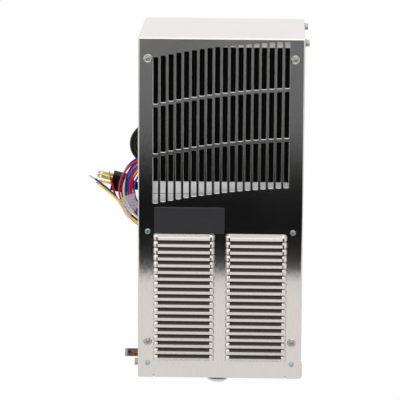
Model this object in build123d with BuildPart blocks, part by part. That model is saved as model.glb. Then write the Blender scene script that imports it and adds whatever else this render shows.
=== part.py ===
from build123d import *
import os
from math import cos, hypot, pi, radians, sin, sqrt, tan

# Side-mounted air conditioner for an electronics enclosure, in millimetres.
# +Z is up, the grille faces -Y, and the origin is the middle of the rear bolt pattern on the rear face.

# Case and sheet metal
case_width = 254.0
case_height = 533.4
case_depth = 234.0
cover_sheet = 1.2
frame_sheet = 1.2
panel_sheet = 1.5
cover_bend = 2.6
bottom_corner = 4.6
slip_gap = 0.4
seat_gap = 0.3
touch_gap = 0.1
overrun = 2.0

# Bottom lip of the cover
lip_width = 203.0
lip_depth = 40.0
relief_width = 1.6
relief_height = 4.2

# Intake slots, whose row edges follow one rising bow
slot_columns = 18
slot_rows = 3
slot_pitch = 11.8
slot_width = 7.9
slot_height = 71.5
slot_row_pitch = 77.1
slot_corner = 1.6
punch_roll = 0.5
slot_rise = 26.2
slot_bow = 4.2
slot_field_drop = 17.7

# Exhaust louvres
louvre_count = 19
louvre_pitch = 10.65
louvre_height = 9.5
louvre_length = 94.7
louvre_spacing = 111.4
louvre_proud = 7.0
louvre_lip = 4.3
louvre_shelf = 6.4
louvre_round = 1.6
louvre_crown = 5.0
louvre_tuck = 4.0
louvre_field_drop = 303.7

# Bare plate beside the louvres
badge_width = 108.0
badge_height = 40.5
badge_thick = 1.0
badge_corner = 1.5
badge_round = 0.5
badge_offset = -47.7
badge_drop = 262.8

# Screws through the front of the cover
front_screw_spacing = 223.6
cup_drop = 32.5
cup_lift = 57.9
pan_drop = 300.9
pan_lift = 22.8
cup_radius = 6.8
cup_height = 2.3
cup_rim = 5.3
cup_floor = 0.5
oval_head_radius = 4.4
oval_head_rise = 3.7
pan_head_radius = 4.0
pan_head_height = 2.5
pan_head_round = 1.2
screw_radius = 2.1
screw_length = 8.5
screw_hole_gap = 0.15
cross_width = 1.1
cross_span = 5.0
cross_depth = 1.3

# Bolts, tab and outlet on the side walls
side_bolt_drop = 8.4
side_bolt_front = 15.0
side_bolt_rear = 205.0
left_bolt_front = 30.0
left_bolt_lift = 16.7
bolt_flats = 9.8
bolt_head_height = 5.0
bolt_flange_radius = 6.4
bolt_flange_height = 1.3
bolt_radius = 3.0
bolt_reach = 9.0
tab_thick = 1.7
tab_depth = 12.0
tab_height = 22.5
tab_lift = 2.2
drain_front = 60.0
drain_lift = 23.2
drain_radius = 6.35
drain_wall = 1.0
drain_reach = 23.0
drain_inset = 29.0
drain_back = 64.0
drain_bend = 16.0
drain_hole_gap = 0.8

# Drain cap under the case
cap_offset = -3.0
cap_front = 22.0
cap_radius = 15.0
cap_dome = 5.2
washer_radius = 15.6
washer_height = 7.0
cap_plug_radius = 9.6
cap_plug_height = 4.5

# Frame, tray, rear panel and partition
frame_flange = 19.0
tray_wall = 10.0
partition_back = 96.0
partition_flange = 12.0
foam_thick = 6.0
foam_width = 208.0
foam_height = 470.0
foam_lift = 12.0
foam_hole_gap = 2.0
mount_spacing_x = 228.0
mount_spacing_z = 494.0
mount_hole = 3.3
gasket_thick = 3.0
gasket_strip = 8.0
gasket_width = 220.0
gasket_height = 512.0

# Air openings in the rear panel
opening_width = 168.0
opening_corner = 8.0
return_height = 118.0
return_centre = 165.0
supply_height = 103.0
supply_centre = -173.5

# Condenser coil and what is around it
coil_setback = 10.0
coil_depth = 38.0
coil_width = 208.0
coil_height = 208.6
coil_top_drop = 15.7
coil_tube = 4.76
coil_tube_wall = 0.5
coil_tube_pitch = 25.4
coil_levels = 8
coil_row_spacing = 19.0
coil_turn = 9.3
coil_tail = 1.3
fin_gap = 2.6
fin_pitch = 4.0
fin_cut = 4.0
tube_fit = 0.05
channel_drop = 19.2
channel_gap = 0.8
channel_rise = 12.4
baffle_drop = 57.0
baffle_setback = 9.0

# Condenser fan
fan_height = 147.0
fan_radius = 92.0
fan_tip_gap = 3.5
fan_collar = 16.0
fan_hub_radius = 26.0
fan_hub_depth = 24.0
fan_setback = 6.0
fan_blades = 5
fan_blade_thick = 1.8
fan_root_chord = 34.0
fan_tip_chord = 62.0
fan_root_angle = 38.0
fan_tip_angle = 22.0
motor_radius = 38.0
motor_length = 42.0
motor_back = 108.0
motor_round = 4.0
motor_bell = 5.0
motor_bell_radius = 12.5
hub_round = 4.0
shaft_radius = 4.0
shaft_reach = 24.0
running_gap = 0.05
bracket_width = 32.0
bracket_foot = 26.0
bracket_span = 150.0

# Compressor
compressor_x = 8.0
compressor_back = 156.0
compressor_radius = 54.0
compressor_height = 158.0
compressor_dome = 20.0
compressor_base_round = 9.0
seam_radius = 56.0
seam_height = 4.0
foot_width = 150.0
foot_depth = 100.0
foot_thick = 2.4
foot_corner = 14.0
foot_spacing_x = 124.0
foot_spacing_y = 74.0
grommet_radius = 11.0
grommet_height = 14.0
grommet_round = 2.0
stud_radius = 4.0
stud_gap = 0.25
nut_flats = 13.0
nut_height = 6.5
nut_washer_radius = 9.5
nut_washer_height = 1.5
stud_proud = 2.0
stub_spacing = 40.0
stub_height = 8.0
terminal_width = 22.0
terminal_depth = 40.0
terminal_height = 58.0
terminal_lift = 30.0
terminal_round = 4.0

# Refrigerant lines
line_wall = 0.8
discharge_radius = 3.175
discharge_x = 116.0
discharge_rise = 40.0
discharge_bend = 12.0
small_bend = 6.0
suction_radius = 4.76
suction_x = 115.0
suction_level = -10.0
suction_back = 120.0
suction_bend = 18.0
suction_low_bend = 13.5
liquid_x = 113.0
liquid_level = 12.0
liquid_back = 176.0
drier_radius = 10.0
drier_length = 82.0
drier_neck = 9.0
drier_taper = 7.0
drier_top = -14.0
capillary_radius = 1.2
capillary_side = 30.0
capillary_turns = 4
capillary_step = 1.3
capillary_drop = 11.0
capillary_bend = 8.25
capillary_back = 70.0
line_hole_gap = 1.2

# Evaporator coil, drain pan and blower
evap_front = 44.0
evap_depth = 30.0
evap_width = 180.0
evap_height = 132.0
evap_bottom = 100.0
evap_tube = 3.97
evap_tube_pitch = 22.0
evap_levels = 6
evap_row_spacing = 15.0
evap_turn = 7.3
evap_tail = 1.8
evap_cut = 3.0
evap_plate_rise = 6.0
pan_width = 212.0
pan_height = 12.0
pan_top = 96.0
pan_wall = 1.5
spigot_x = -98.0
spigot_back = 24.0
spigot_length = 12.0
spigot_bore = 4.6
hose_wall = 2.0
hose_overlap = 6.0
hose_bend = 22.0
blower_height = 166.0
blower_plate_back = 45.8
blower_plate_bottom = 88.0
blower_inlet = 48.0
blower_lip = 3.0
wheel_radius = 74.0
wheel_front = 84.0
wheel_depth = 34.0
wheel_plate = 2.0
wheel_inner = 51.0
wheel_blades = 7
wheel_blade_start = 34.0
wheel_blade_thick = 2.0
wheel_blade_lean = 38.0
rotor_radius = 26.0
rotor_wall = 3.5
rotor_depth = 30.0
rotor_back = 58.0
rotor_end = 2.5
stator_radius = 20.0
stator_flange_radius = 30.0
stator_flange_thick = 5.0
stator_gap = 2.0
blower_shaft_radius = 3.0

# Control box, its lid and what it holds
control_x = 6.0
control_z = -5.0
control_width = 172.0
control_height = 122.0
control_depth = 48.0
lid_overlap = 8.0
lid_corner = 4.0
capacitor_radius = 20.0
capacitor_length = 78.0
capacitor_x = 44.0
capacitor_round = 2.0
capacitor_cap = 5.0
capacitor_cap_radius = 10.0
thermostat_x = -4.0
thermostat_z = -42.0
thermostat_width = 40.0
thermostat_height = 30.0
thermostat_depth = 22.0
thermostat_floor = 2.0
spindle_radius = 3.0
spindle_reach = 16.0
dial_radius = 14.0
dial_thick = 5.0
dial_grip_radius = 8.0
dial_grip_height = 9.0
dial_lift = 1.4
dial_pointer = 2.2
dial_edge = 1.0

# Power cord, its strain relief, hank and plug
cord_radius = 4.2
bend_share = 0.45
gland_x = 78.0
gland_z = 2.0
gland_base_radius = 11.0
gland_base_height = 4.5
gland_body_radius = 8.0
gland_axis_lift = 12.8
gland_length = 38.0
gland_taper = 3.4
gland_root_radius = 7.0
hank_left = 119.8
hank_z = 56.0
hank_run = 168.0
hank_outer = 34.75
hank_layers = 4
hank_start = 16.0
hank_round = 3.0
tie_width = 5.0
tie_wall = 1.2
tie_gap = 0.5
tie_round = 2.0
tie_places = (-80.0, 10.0)
lead_points = ((40.0, 14.0, 2.0), (6.0, 14.0, 2.0), (-22.0, 16.5, 11.0), (-48.0, 20.2, 25.2))
tail_points = (
    (34.0, 45.4, 25.6),
    (2.0, 45.2, 22.6),
    (-30.0, 43.0, 10.0),
    (-62.0, 37.0, -12.0),
    (-96.0, 30.0, -26.5),
    (-131.3, 30.0, -18.7),
)
plug_x = -184.0
plug_y = 30.0
plug_z = -7.0
plug_tilt = 12.5
plug_roll = 15.0
plug_tall = 29.0
plug_wide = 25.0
plug_body_length = 36.0
plug_straight = 24.0
plug_corner = 6.0
plug_neck_radius = 7.5
plug_relief_radius = 5.2
plug_length = 54.0
blade_spacing = 12.7
blade_wide = 6.35
blade_thick = 1.5
blade_length = 25.5
blade_rise = 6.2
blade_hole = 2.0
blade_hole_inset = 5.6
blade_round = 1.4
ground_radius = 2.4
ground_length = 22.0
ground_drop = 5.7
ground_round = 1.2

# Wire harness: three insulated wires in a taped loose coil with bare ends
wire_radius = 1.7
bushing_radius = 8.0
bushing_bore = 5.0
bushing_neck = 6.4
bushing_height = 3.0
ring_x = -108.6
ring_z = -22.7
ring_outer = 65.7
ring_inner = 34.7
ring_thick = 11.0
ring_round = 3.0
bushing_x = -68.0
bushing_z = -20.0
tape_start = 191.5
tape_end = 222.0
tape_wall = 0.4
blue_points = ((-160.0, 9.9, -52.0), (-171.0, 9.9, -37.0), (-187.0, 9.9, -18.7), (-210.4, 9.9, -1.1))
yellow_points = ((-156.0, 6.4, -55.0), (-169.0, 6.4, -41.5), (-184.7, 6.4, -26.6), (-205.2, 6.4, -9.1))
red_points = ((-165.5, 13.4, -46.0), (-174.5, 13.4, -34.5), (-180.2, 13.4, -22.0), (-185.6, 13.4, 0.0))

# Places that follow from the sizes above
half_width = case_width / 2
half_height = case_height / 2
front_y = -case_depth
inner_x = half_width - cover_sheet - slip_gap
web_x = inner_x - frame_sheet
flange_x = inner_x - frame_flange
frame_top = half_height - cover_bend
panel_top = half_height - cover_sheet - slip_gap
tray_bottom = -half_height + cover_sheet
tray_top = tray_bottom + panel_sheet
cover_back_y = front_y + cover_sheet
panel_front_y = -panel_sheet
screw_x = front_screw_spacing / 2
cup_points = [(x, z) for x in (-screw_x, screw_x) for z in (half_height - cup_drop, cup_lift - half_height)]
pan_points = [(x, z) for x in (-screw_x, screw_x) for z in (half_height - pan_drop, pan_lift - half_height)]
screw_hole = screw_radius + screw_hole_gap
right_bolts = [(front_y + inset, half_height - side_bolt_drop) for inset in (side_bolt_front, side_bolt_rear)]
left_bolts = [(front_y + left_bolt_front, left_bolt_lift - half_height)]
drain_y = front_y + drain_front
drain_z = -half_height + drain_lift
drain_x = -half_width + drain_inset
cap_y = front_y + cap_front
coil_front_y = front_y + coil_setback
coil_back_y = coil_front_y + coil_depth
coil_top = half_height - coil_top_drop
coil_bottom = coil_top - coil_height
coil_middle_y = (coil_front_y + coil_back_y) / 2
coil_middle_z = (coil_top + coil_bottom) / 2
coil_plate_x = coil_width / 2 + frame_sheet
coil_end_x = coil_plate_x + coil_tail
baffle_top = coil_bottom - channel_drop
louvre_straight = louvre_length / 2 - louvre_proud
coil_high = coil_middle_z + coil_tube_pitch * (coil_levels - 1) / 2
coil_low = coil_middle_z - coil_tube_pitch * (coil_levels - 1) / 2
coil_row_front = coil_middle_y - coil_row_spacing / 2
coil_row_back = coil_middle_y + coil_row_spacing / 2
shroud_back_y = coil_back_y + frame_sheet
hub_front_y = coil_back_y + fan_setback
hub_back_y = hub_front_y + fan_hub_depth
motor_back_y = -motor_back
motor_front_y = motor_back_y - motor_length
partition_y = -partition_back
partition_front_y = partition_y - frame_sheet
compressor_y = -compressor_back
foot_z = tray_top + grommet_height
shell_bottom = foot_z + foot_thick
shell_top = foot_z + compressor_height
stub_top = shell_top + stub_height
drier_bottom = drier_top - drier_length - 2 * drier_neck
capillary_start_z = drier_bottom - capillary_drop
capillary_exit_x = liquid_x - capillary_side
capillary_exit_z = capillary_start_z - (4 * capillary_turns - 1) * capillary_step
discharge_start_x = compressor_x + stub_spacing / 2
suction_end_x = compressor_x - stub_spacing / 2
evap_front_y = -evap_front
evap_back_y = evap_front_y + evap_depth
evap_plate_x = evap_width / 2 + frame_sheet
evap_end_x = evap_plate_x + evap_tail
evap_middle_y = (evap_front_y + evap_back_y) / 2
evap_middle_z = evap_bottom + evap_height / 2
evap_high = evap_middle_z + evap_tube_pitch * (evap_levels - 1) / 2
evap_low = evap_middle_z - evap_tube_pitch * (evap_levels - 1) / 2
evap_row_front = evap_middle_y - evap_row_spacing / 2
evap_row_back = evap_middle_y + evap_row_spacing / 2
pan_floor = pan_top - pan_height
blower_plate_y = -blower_plate_back
wheel_front_y = -wheel_front
wheel_back_y = wheel_front_y + wheel_depth
rotor_back_y = -rotor_back
rotor_front_y = rotor_back_y - rotor_depth
stator_flange_y = partition_y + stator_flange_thick
stator_back_y = rotor_back_y - rotor_end - stator_gap
box_front_y = panel_front_y - control_depth
box_inner_width = control_width - 2 * frame_sheet
box_inner_height = control_height - 2 * frame_sheet
lid_back_y = frame_sheet
hank_x = hank_run / 2 - hank_left
hank_thick = hank_layers * 2 * cord_radius
hank_run_z = hank_outer - cord_radius
ring_start = lid_back_y + bushing_height


def at_y(y):
    """The plane parallel to the front at y, with X right and Z up."""
    return Plane.XZ.offset(-y)


def slot_line(x):
    """Height of the bowed slot line over its chord's middle: a straight rise plus a shallow parabola."""
    share = x / (slot_pitch * (slot_columns - 1))
    return slot_rise * share + slot_bow * (1 - 4 * share * share)


def route_tube(points, radii, radius, wall):
    """A round tube along straight runs joined by tangent arcs; a wall of zero makes it solid."""
    with BuildPart() as tube:
        with BuildLine() as route:
            FilletPolyline(*points, radius=radii)
        with BuildSketch(Plane(origin=route.line @ 0, z_dir=route.line % 0)):
            Circle(radius)
            if wall > 0:
                Circle(radius - wall, mode=Mode.SUBTRACT)
        sweep()
    return tube.part


def cord_radii(name, points):
    """Arc radii of a free cord: a share of the shorter run over the tangent of half the turn."""
    radii = []
    for before, here, after in zip(points, points[1:], points[2:]):
        run_in = Vector(*here) - Vector(*before)
        run_out = Vector(*after) - Vector(*here)
        turn = radians(run_in.get_angle(run_out))
        radii.append(bend_share * min(run_in.length, run_out.length) / tan(turn / 2))
    print(name, "radii", [round(radius, 1) for radius in radii])
    return radii


def cord_tube(name, points, radius):
    """The tube of a free cord, with its volume compared to its section times its length."""
    radii = cord_radii(name, points)
    with BuildPart() as tube:
        with BuildLine() as route:
            FilletPolyline(*points, radius=radii)
        with BuildSketch(Plane(origin=route.line @ 0, z_dir=route.line % 0)):
            Circle(radius)
        sweep()
    length = route.wire().length
    expected = pi * radius * radius * length
    print(name, "length", round(length, 1), "volume share", round(tube.part.volume / expected, 4))
    return tube.part


def finish(part, label):
    """Label a piece and write it as its own STEP file."""
    part.label = label
    export_step(part, "parts/" + label + ".step")


os.makedirs("parts", exist_ok=True)

# Cover: front, top and sides folded from one sheet, with slots, louvres, a bottom lip and relief notches
with BuildPart() as cover_hollow:
    with BuildSketch(Plane.XY.offset(-half_height - overrun)):
        with Locations((0, (cover_back_y + overrun) / 2)):
            Rectangle(case_width - 2 * cover_sheet, overrun - cover_back_y)
    extrude(amount=case_height - cover_sheet + overrun)
    fold_edges = cover_hollow.edges().filter_by(Axis.Z).group_by(Axis.Y)[0]
    top_fold = cover_hollow.faces().sort_by(Axis.Z)[-1].edges().filter_by(Axis.X).sort_by(Axis.Y)[0]
    fillet(fold_edges + [top_fold], radius=cover_bend - cover_sheet)

with BuildPart() as louvre_outer:
    with BuildSketch(Plane.YZ) as louvre_side:
        with BuildLine():
            Polyline(
                (0, louvre_height),
                (-louvre_shelf, louvre_lip),
                (-louvre_proud, 0),
                (0, 0),
                close=True,
            )
        make_face()
        fillet(louvre_side.vertices().sort_by(Axis.X)[1], radius=louvre_round)
    extrude(amount=louvre_straight, both=True)
    for side in (-1, 1):
        with BuildSketch(Plane.YZ.offset(side * louvre_straight)) as dome_side:
            with Locations((-louvre_proud / 2, louvre_height / 2)):
                Rectangle(louvre_proud, louvre_height)
            dome_corners = dome_side.vertices().group_by(Axis.X)[0].sort_by(Axis.Y)
            fillet(dome_corners[-1], radius=louvre_crown)
            fillet(dome_corners[0], radius=louvre_tuck)
        revolve(axis=Axis((side * louvre_straight, 0, 0), (0, 0, 1)), revolution_arc=side * 90)

# The hollow of a louvre lies one sheet inside its shelf and its lip, and the two inner lines meet at the knee
shelf_slope = (louvre_height - louvre_lip) / louvre_shelf
lip_slope = (louvre_proud - louvre_shelf) / louvre_lip
hollow_top = louvre_height - cover_sheet * hypot(1, shelf_slope)
hollow_depth = louvre_proud - cover_sheet * hypot(1, lip_slope)
knee_height = (hollow_top - shelf_slope * hollow_depth) / (1 - shelf_slope * lip_slope)
knee_depth = hollow_depth - lip_slope * knee_height
with BuildPart() as louvre_hollow:
    with BuildSketch(Plane.YZ):
        with BuildLine():
            Polyline(
                (0, hollow_top),
                (-knee_depth, knee_height),
                (-hollow_depth, 0),
                (0, 0),
                close=True,
            )
        make_face()
    extrude(amount=louvre_straight, both=True)
    with BuildSketch(Plane.XZ):
        with Locations((0, hollow_top / 2)):
            Rectangle(2 * louvre_straight, hollow_top)
    extrude(amount=-cover_sheet - overrun)

louvre_places = [
    (x, front_y, half_height - louvre_field_drop - louvre_height - row * louvre_pitch)
    for x in (-louvre_spacing / 2, louvre_spacing / 2)
    for row in range(louvre_count)
]

with BuildPart() as front_cover:
    with BuildSketch(Plane.XY.offset(-half_height)):
        with Locations((0, front_y / 2)):
            Rectangle(case_width, case_depth)
    extrude(amount=case_height)
    fold_edges = front_cover.edges().filter_by(Axis.Z).group_by(Axis.Y)[0]
    top_fold = front_cover.faces().sort_by(Axis.Z)[-1].edges().filter_by(Axis.X).sort_by(Axis.Y)[0]
    fillet(fold_edges + [top_fold], radius=cover_bend)
    add(cover_hollow.part, mode=Mode.SUBTRACT)
    with BuildSketch(Plane.XY.offset(-half_height)):
        with Locations((0, front_y + lip_depth / 2)):
            Rectangle(lip_width, lip_depth)
    extrude(amount=cover_sheet)
    relief_x = (lip_width + relief_width) / 2
    with BuildSketch(at_y(front_y - overrun)):
        with Locations((-relief_x, -half_height), (relief_x, -half_height)):
            Rectangle(relief_width, 2 * relief_height)
    extrude(amount=-(cover_sheet + 2 * overrun), mode=Mode.SUBTRACT)
    lip_fold = front_cover.edges().filter_by(Axis.X).filter_by(
        lambda edge: abs(edge.center().X) < touch_gap and edge.center().Z < overrun - half_height
    ).group_by(Axis.Z)[0].sort_by(Axis.Y)[0]
    fillet(lip_fold, radius=cover_sheet)
    with BuildSketch(at_y(front_y - overrun)):
        for side in (-1, 1):
            with Locations((side * (half_width - bottom_corner / 2), bottom_corner / 2 - half_height)):
                Rectangle(bottom_corner, bottom_corner)
            with Locations((side * (half_width - bottom_corner), bottom_corner - half_height)):
                Circle(bottom_corner, mode=Mode.SUBTRACT)
    extrude(amount=-(cover_bend + overrun), mode=Mode.SUBTRACT)
    with BuildSketch(at_y(front_y - overrun)):
        for row in range(slot_rows):
            for column in range(slot_columns):
                x = slot_pitch * (column - (slot_columns - 1) / 2)
                top = half_height - slot_field_drop - row * slot_row_pitch + slot_line(x)
                with Locations((x, top - slot_height / 2)):
                    RectangleRounded(slot_width, slot_height, slot_corner)
    extrude(amount=-(cover_sheet + 2 * overrun), mode=Mode.SUBTRACT)
    punched_face = front_cover.faces().filter_by(Axis.Y).sort_by(Axis.Y)[0]
    slot_edges = [edge for outline in punched_face.inner_wires() for edge in outline.edges()]
    print("slot edges", len(slot_edges))
    chamfer(slot_edges, length=punch_roll)
    with BuildSketch(at_y(front_y - overrun)):
        with Locations(*cup_points, *pan_points):
            Circle(screw_hole)
    extrude(amount=-(cover_sheet + 2 * overrun), mode=Mode.SUBTRACT)
    with BuildSketch(Plane.YZ.offset(half_width + overrun)):
        with Locations(*right_bolts):
            Circle(bolt_radius + screw_hole_gap)
    extrude(amount=-(cover_sheet + 2 * overrun), mode=Mode.SUBTRACT)
    with BuildSketch(Plane.YZ.offset(-half_width - overrun)):
        with Locations(*left_bolts):
            Circle(bolt_radius + screw_hole_gap)
        with Locations((drain_y, drain_z)):
            Circle(drain_radius + drain_hole_gap)
    extrude(amount=cover_sheet + 2 * overrun, mode=Mode.SUBTRACT)
    with BuildSketch(Plane.XY.offset(-half_height - overrun)):
        with Locations((cap_offset, cap_y)):
            Circle(cap_plug_radius + screw_hole_gap)
    extrude(amount=cover_sheet + 2 * overrun, mode=Mode.SUBTRACT)
    with Locations(*louvre_places):
        add(louvre_outer.part)
    with Locations(*louvre_places):
        add(louvre_hollow.part, mode=Mode.SUBTRACT)
finish(front_cover.part, "front_cover")

# Bare plate in place of the name plate
with BuildPart() as badge_plate:
    with BuildSketch(at_y(front_y)):
        with Locations((badge_offset, half_height - badge_drop - badge_height / 2)):
            RectangleRounded(badge_width, badge_height, badge_corner)
    extrude(amount=badge_thick)
    fillet(badge_plate.faces().sort_by(Axis.Y)[0].edges(), radius=badge_round)
finish(badge_plate.part, "badge_plate")

# Cup washers and oval-head screws
with BuildPart() as cup:
    with BuildSketch(Plane.XY):
        with BuildLine():
            Polyline(
                (screw_hole, -cup_floor),
                (cup_rim, -cup_height),
                (cup_radius, -cup_floor),
                (cup_radius, 0),
                (screw_hole, 0),
                close=True,
            )
        make_face()
    revolve(axis=Axis.Y)
    fillet(cup.edges().filter_by(GeomType.CIRCLE).group_by(Axis.Y)[0], radius=cup_floor)

with BuildPart() as cup_washers:
    with Locations(*[(x, front_y, z) for x, z in cup_points]):
        add(cup.part)
finish(cup_washers.part, "cup_washers")

head_seat_share = (oval_head_radius - screw_hole) / (cup_rim - screw_hole)
head_edge = cup_floor + (cup_height - cup_floor) * head_seat_share
with BuildPart() as oval_screw:
    with BuildSketch(Plane.XY):
        with BuildLine():
            Line((0, screw_length), (screw_radius, screw_length))
            Line((screw_radius, screw_length), (screw_radius, -cup_floor))
            Line((screw_radius, -cup_floor), (oval_head_radius - touch_gap, -head_edge))
            ThreePointArc(
                (oval_head_radius - touch_gap, -head_edge),
                (oval_head_radius / 2, -(oval_head_rise + (oval_head_rise + head_edge) / 2) / 2),
                (0, -oval_head_rise),
            )
            Line((0, -oval_head_rise), (0, screw_length))
        make_face()
    revolve(axis=Axis.Y)
    with BuildSketch(at_y(-oval_head_rise - overrun)):
        Rectangle(cross_span, cross_width)
        Rectangle(cross_width, cross_span)
    extrude(amount=-(cross_depth + overrun), mode=Mode.SUBTRACT)

with BuildPart() as cover_screws:
    with Locations(*[(x, front_y, z) for x, z in cup_points]):
        add(oval_screw.part)
finish(cover_screws.part, "cover_screws")

with BuildPart() as pan_screw:
    with BuildSketch(at_y(0)):
        Circle(pan_head_radius)
    extrude(amount=pan_head_height)
    fillet(pan_screw.faces().sort_by(Axis.Y)[0].edges(), radius=pan_head_round)
    with BuildSketch(at_y(-pan_head_height - overrun)):
        Rectangle(cross_span, cross_width)
        Rectangle(cross_width, cross_span)
    extrude(amount=-(cross_depth + overrun), mode=Mode.SUBTRACT)
    with BuildSketch(at_y(0)):
        Circle(screw_radius)
    extrude(amount=-screw_length)

with BuildPart() as panel_screws:
    with Locations(*[(x, front_y, z) for x, z in pan_points]):
        add(pan_screw.part)
finish(panel_screws.part, "panel_screws")

# Flanged hex bolts through the side walls into the frame
with BuildPart() as side_bolts:
    for side, places in ((1, right_bolts), (-1, left_bolts)):
        wall = Plane.YZ.offset(side * half_width)
        with BuildSketch(wall):
            with Locations(*places):
                Circle(bolt_flange_radius)
        extrude(amount=side * bolt_flange_height)
        with BuildSketch(wall):
            with Locations(*places):
                RegularPolygon(bolt_flats / 2, 6, major_radius=False)
        extrude(amount=side * (bolt_flange_height + bolt_head_height))
        with BuildSketch(wall):
            with Locations(*places):
                Circle(bolt_radius)
        extrude(amount=-side * bolt_reach)
finish(side_bolts.part, "side_bolts")

# Small tab on the right wall, low at the front
with BuildPart() as side_tab:
    with BuildSketch(Plane.YZ.offset(half_width)):
        with Locations((front_y + cover_bend + tab_depth / 2, tab_lift + tab_height / 2 - half_height)):
            RectangleRounded(tab_depth, tab_height, tab_thick)
    extrude(amount=tab_thick)
finish(side_tab.part, "side_tab")

# Drain cap: a domed plug through the lip and the tray, with a thick rubber washer above its dome
cap_axis = Axis((cap_offset, cap_y, 0), (0, 0, 1))
dome_top = -half_height - washer_height
dome_sphere = (cap_radius * cap_radius + cap_dome * cap_dome) / (2 * cap_dome)
dome_middle_x = cap_radius / 2
dome_centre_z = dome_top - cap_dome + dome_sphere
dome_middle_z = dome_centre_z - sqrt(dome_sphere * dome_sphere - dome_middle_x * dome_middle_x)
with BuildPart() as drain_cap:
    with BuildSketch(at_y(cap_y)):
        with BuildLine():
            Polyline(
                (cap_offset, dome_top - cap_dome),
                (cap_offset, cap_plug_height - half_height),
                (cap_offset + cap_plug_radius, cap_plug_height - half_height),
                (cap_offset + cap_plug_radius, dome_top),
                (cap_offset + cap_radius, dome_top),
            )
            ThreePointArc(
                (cap_offset + cap_radius, dome_top),
                (cap_offset + dome_middle_x, dome_middle_z),
                (cap_offset, dome_top - cap_dome),
            )
        make_face()
    revolve(axis=cap_axis)
finish(drain_cap.part, "drain_cap")

with BuildPart() as drain_washer:
    with BuildSketch(Plane.XY.offset(dome_top)):
        with Locations((cap_offset, cap_y)):
            Circle(washer_radius)
            Circle(cap_plug_radius + seat_gap, mode=Mode.SUBTRACT)
    extrude(amount=washer_height)
finish(drain_washer.part, "drain_washer")

# Copper drain outlet that leaves the left wall, and the hose that feeds it from the pan
drain_end_y = -drain_back
drain_tube = route_tube(
    [
        (-half_width - drain_reach, drain_y, drain_z),
        (drain_x, drain_y, drain_z),
        (drain_x, drain_end_y, drain_z),
    ],
    [drain_bend],
    drain_radius,
    drain_wall,
)
finish(drain_tube, "drain_tube")

hose_bore = drain_radius + tube_fit
drain_hose = route_tube(
    [
        (spigot_x, -spigot_back, pan_floor - spigot_length + hose_overlap),
        (spigot_x, -spigot_back, drain_z),
        (drain_x, drain_end_y - hose_overlap, drain_z),
    ],
    [hose_bend],
    hose_bore + hose_wall,
    hose_wall,
)
finish(drain_hose, "drain_hose")

# Rear panel with the return, supply and control openings and the four mounting holes
mount_points = [(x * mount_spacing_x / 2, z * mount_spacing_z / 2) for x in (-1, 1) for z in (-1, 1)]
with BuildPart() as rear_panel:
    with BuildSketch(at_y(0)):
        with Locations((0, (tray_bottom + panel_top) / 2)):
            Rectangle(2 * inner_x, panel_top - tray_bottom)
        with Locations((0, return_centre)):
            RectangleRounded(opening_width, return_height, opening_corner, mode=Mode.SUBTRACT)
        with Locations((0, supply_centre)):
            RectangleRounded(opening_width, supply_height, opening_corner, mode=Mode.SUBTRACT)
        with Locations((control_x, control_z)):
            Rectangle(box_inner_width, box_inner_height, mode=Mode.SUBTRACT)
        with Locations(*mount_points):
            Circle(mount_hole, mode=Mode.SUBTRACT)
    extrude(amount=panel_sheet)
finish(rear_panel.part, "rear_panel")

# Foam gasket round the air openings
with BuildPart() as mounting_gasket:
    with BuildSketch(at_y(0)):
        Rectangle(gasket_width, gasket_height)
        Rectangle(gasket_width - 2 * gasket_strip, gasket_height - 2 * gasket_strip, mode=Mode.SUBTRACT)
    extrude(amount=-gasket_thick)
finish(mounting_gasket.part, "mounting_gasket")

# Side frames: C-section posts that carry the cover, the shroud, the partition and the rear panel
with BuildPart() as side_frames:
    for side in (-1, 1):
        with BuildSketch(Plane.XY.offset(tray_top)):
            with Locations((side * (inner_x + web_x) / 2, (cover_back_y + panel_front_y) / 2)):
                Rectangle(frame_sheet, panel_front_y - cover_back_y)
            with Locations((side * (inner_x + flange_x) / 2, cover_back_y + frame_sheet / 2)):
                Rectangle(frame_flange, frame_sheet)
            with Locations((side * (inner_x + flange_x) / 2, panel_front_y - frame_sheet / 2)):
                Rectangle(frame_flange, frame_sheet)
        extrude(amount=frame_top - tray_top)
    front_corners = side_frames.edges().filter_by(Axis.Z).group_by(Axis.Y)[0].sort_by(Axis.X)
    fillet([front_corners[0], front_corners[-1]], radius=cover_bend - cover_sheet)
    with BuildSketch(at_y(cover_back_y - overrun)):
        with Locations(*cup_points, *pan_points):
            Circle(screw_hole)
    extrude(amount=-(frame_sheet + 2 * overrun), mode=Mode.SUBTRACT)
    with BuildSketch(at_y(panel_front_y + overrun)):
        with Locations(*mount_points):
            Circle(mount_hole)
    extrude(amount=frame_sheet + 2 * overrun, mode=Mode.SUBTRACT)
    with BuildSketch(Plane.YZ.offset(half_width)):
        with Locations(*right_bolts):
            Circle(bolt_radius + screw_hole_gap)
    extrude(amount=web_x - half_width - overrun, mode=Mode.SUBTRACT)
    with BuildSketch(Plane.YZ.offset(-half_width)):
        with Locations(*left_bolts):
            Circle(bolt_radius + screw_hole_gap)
        with Locations((drain_y, drain_z)):
            Circle(drain_radius + drain_hole_gap)
    extrude(amount=half_width - web_x + overrun, mode=Mode.SUBTRACT)
finish(side_frames.part, "side_frames")

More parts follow.
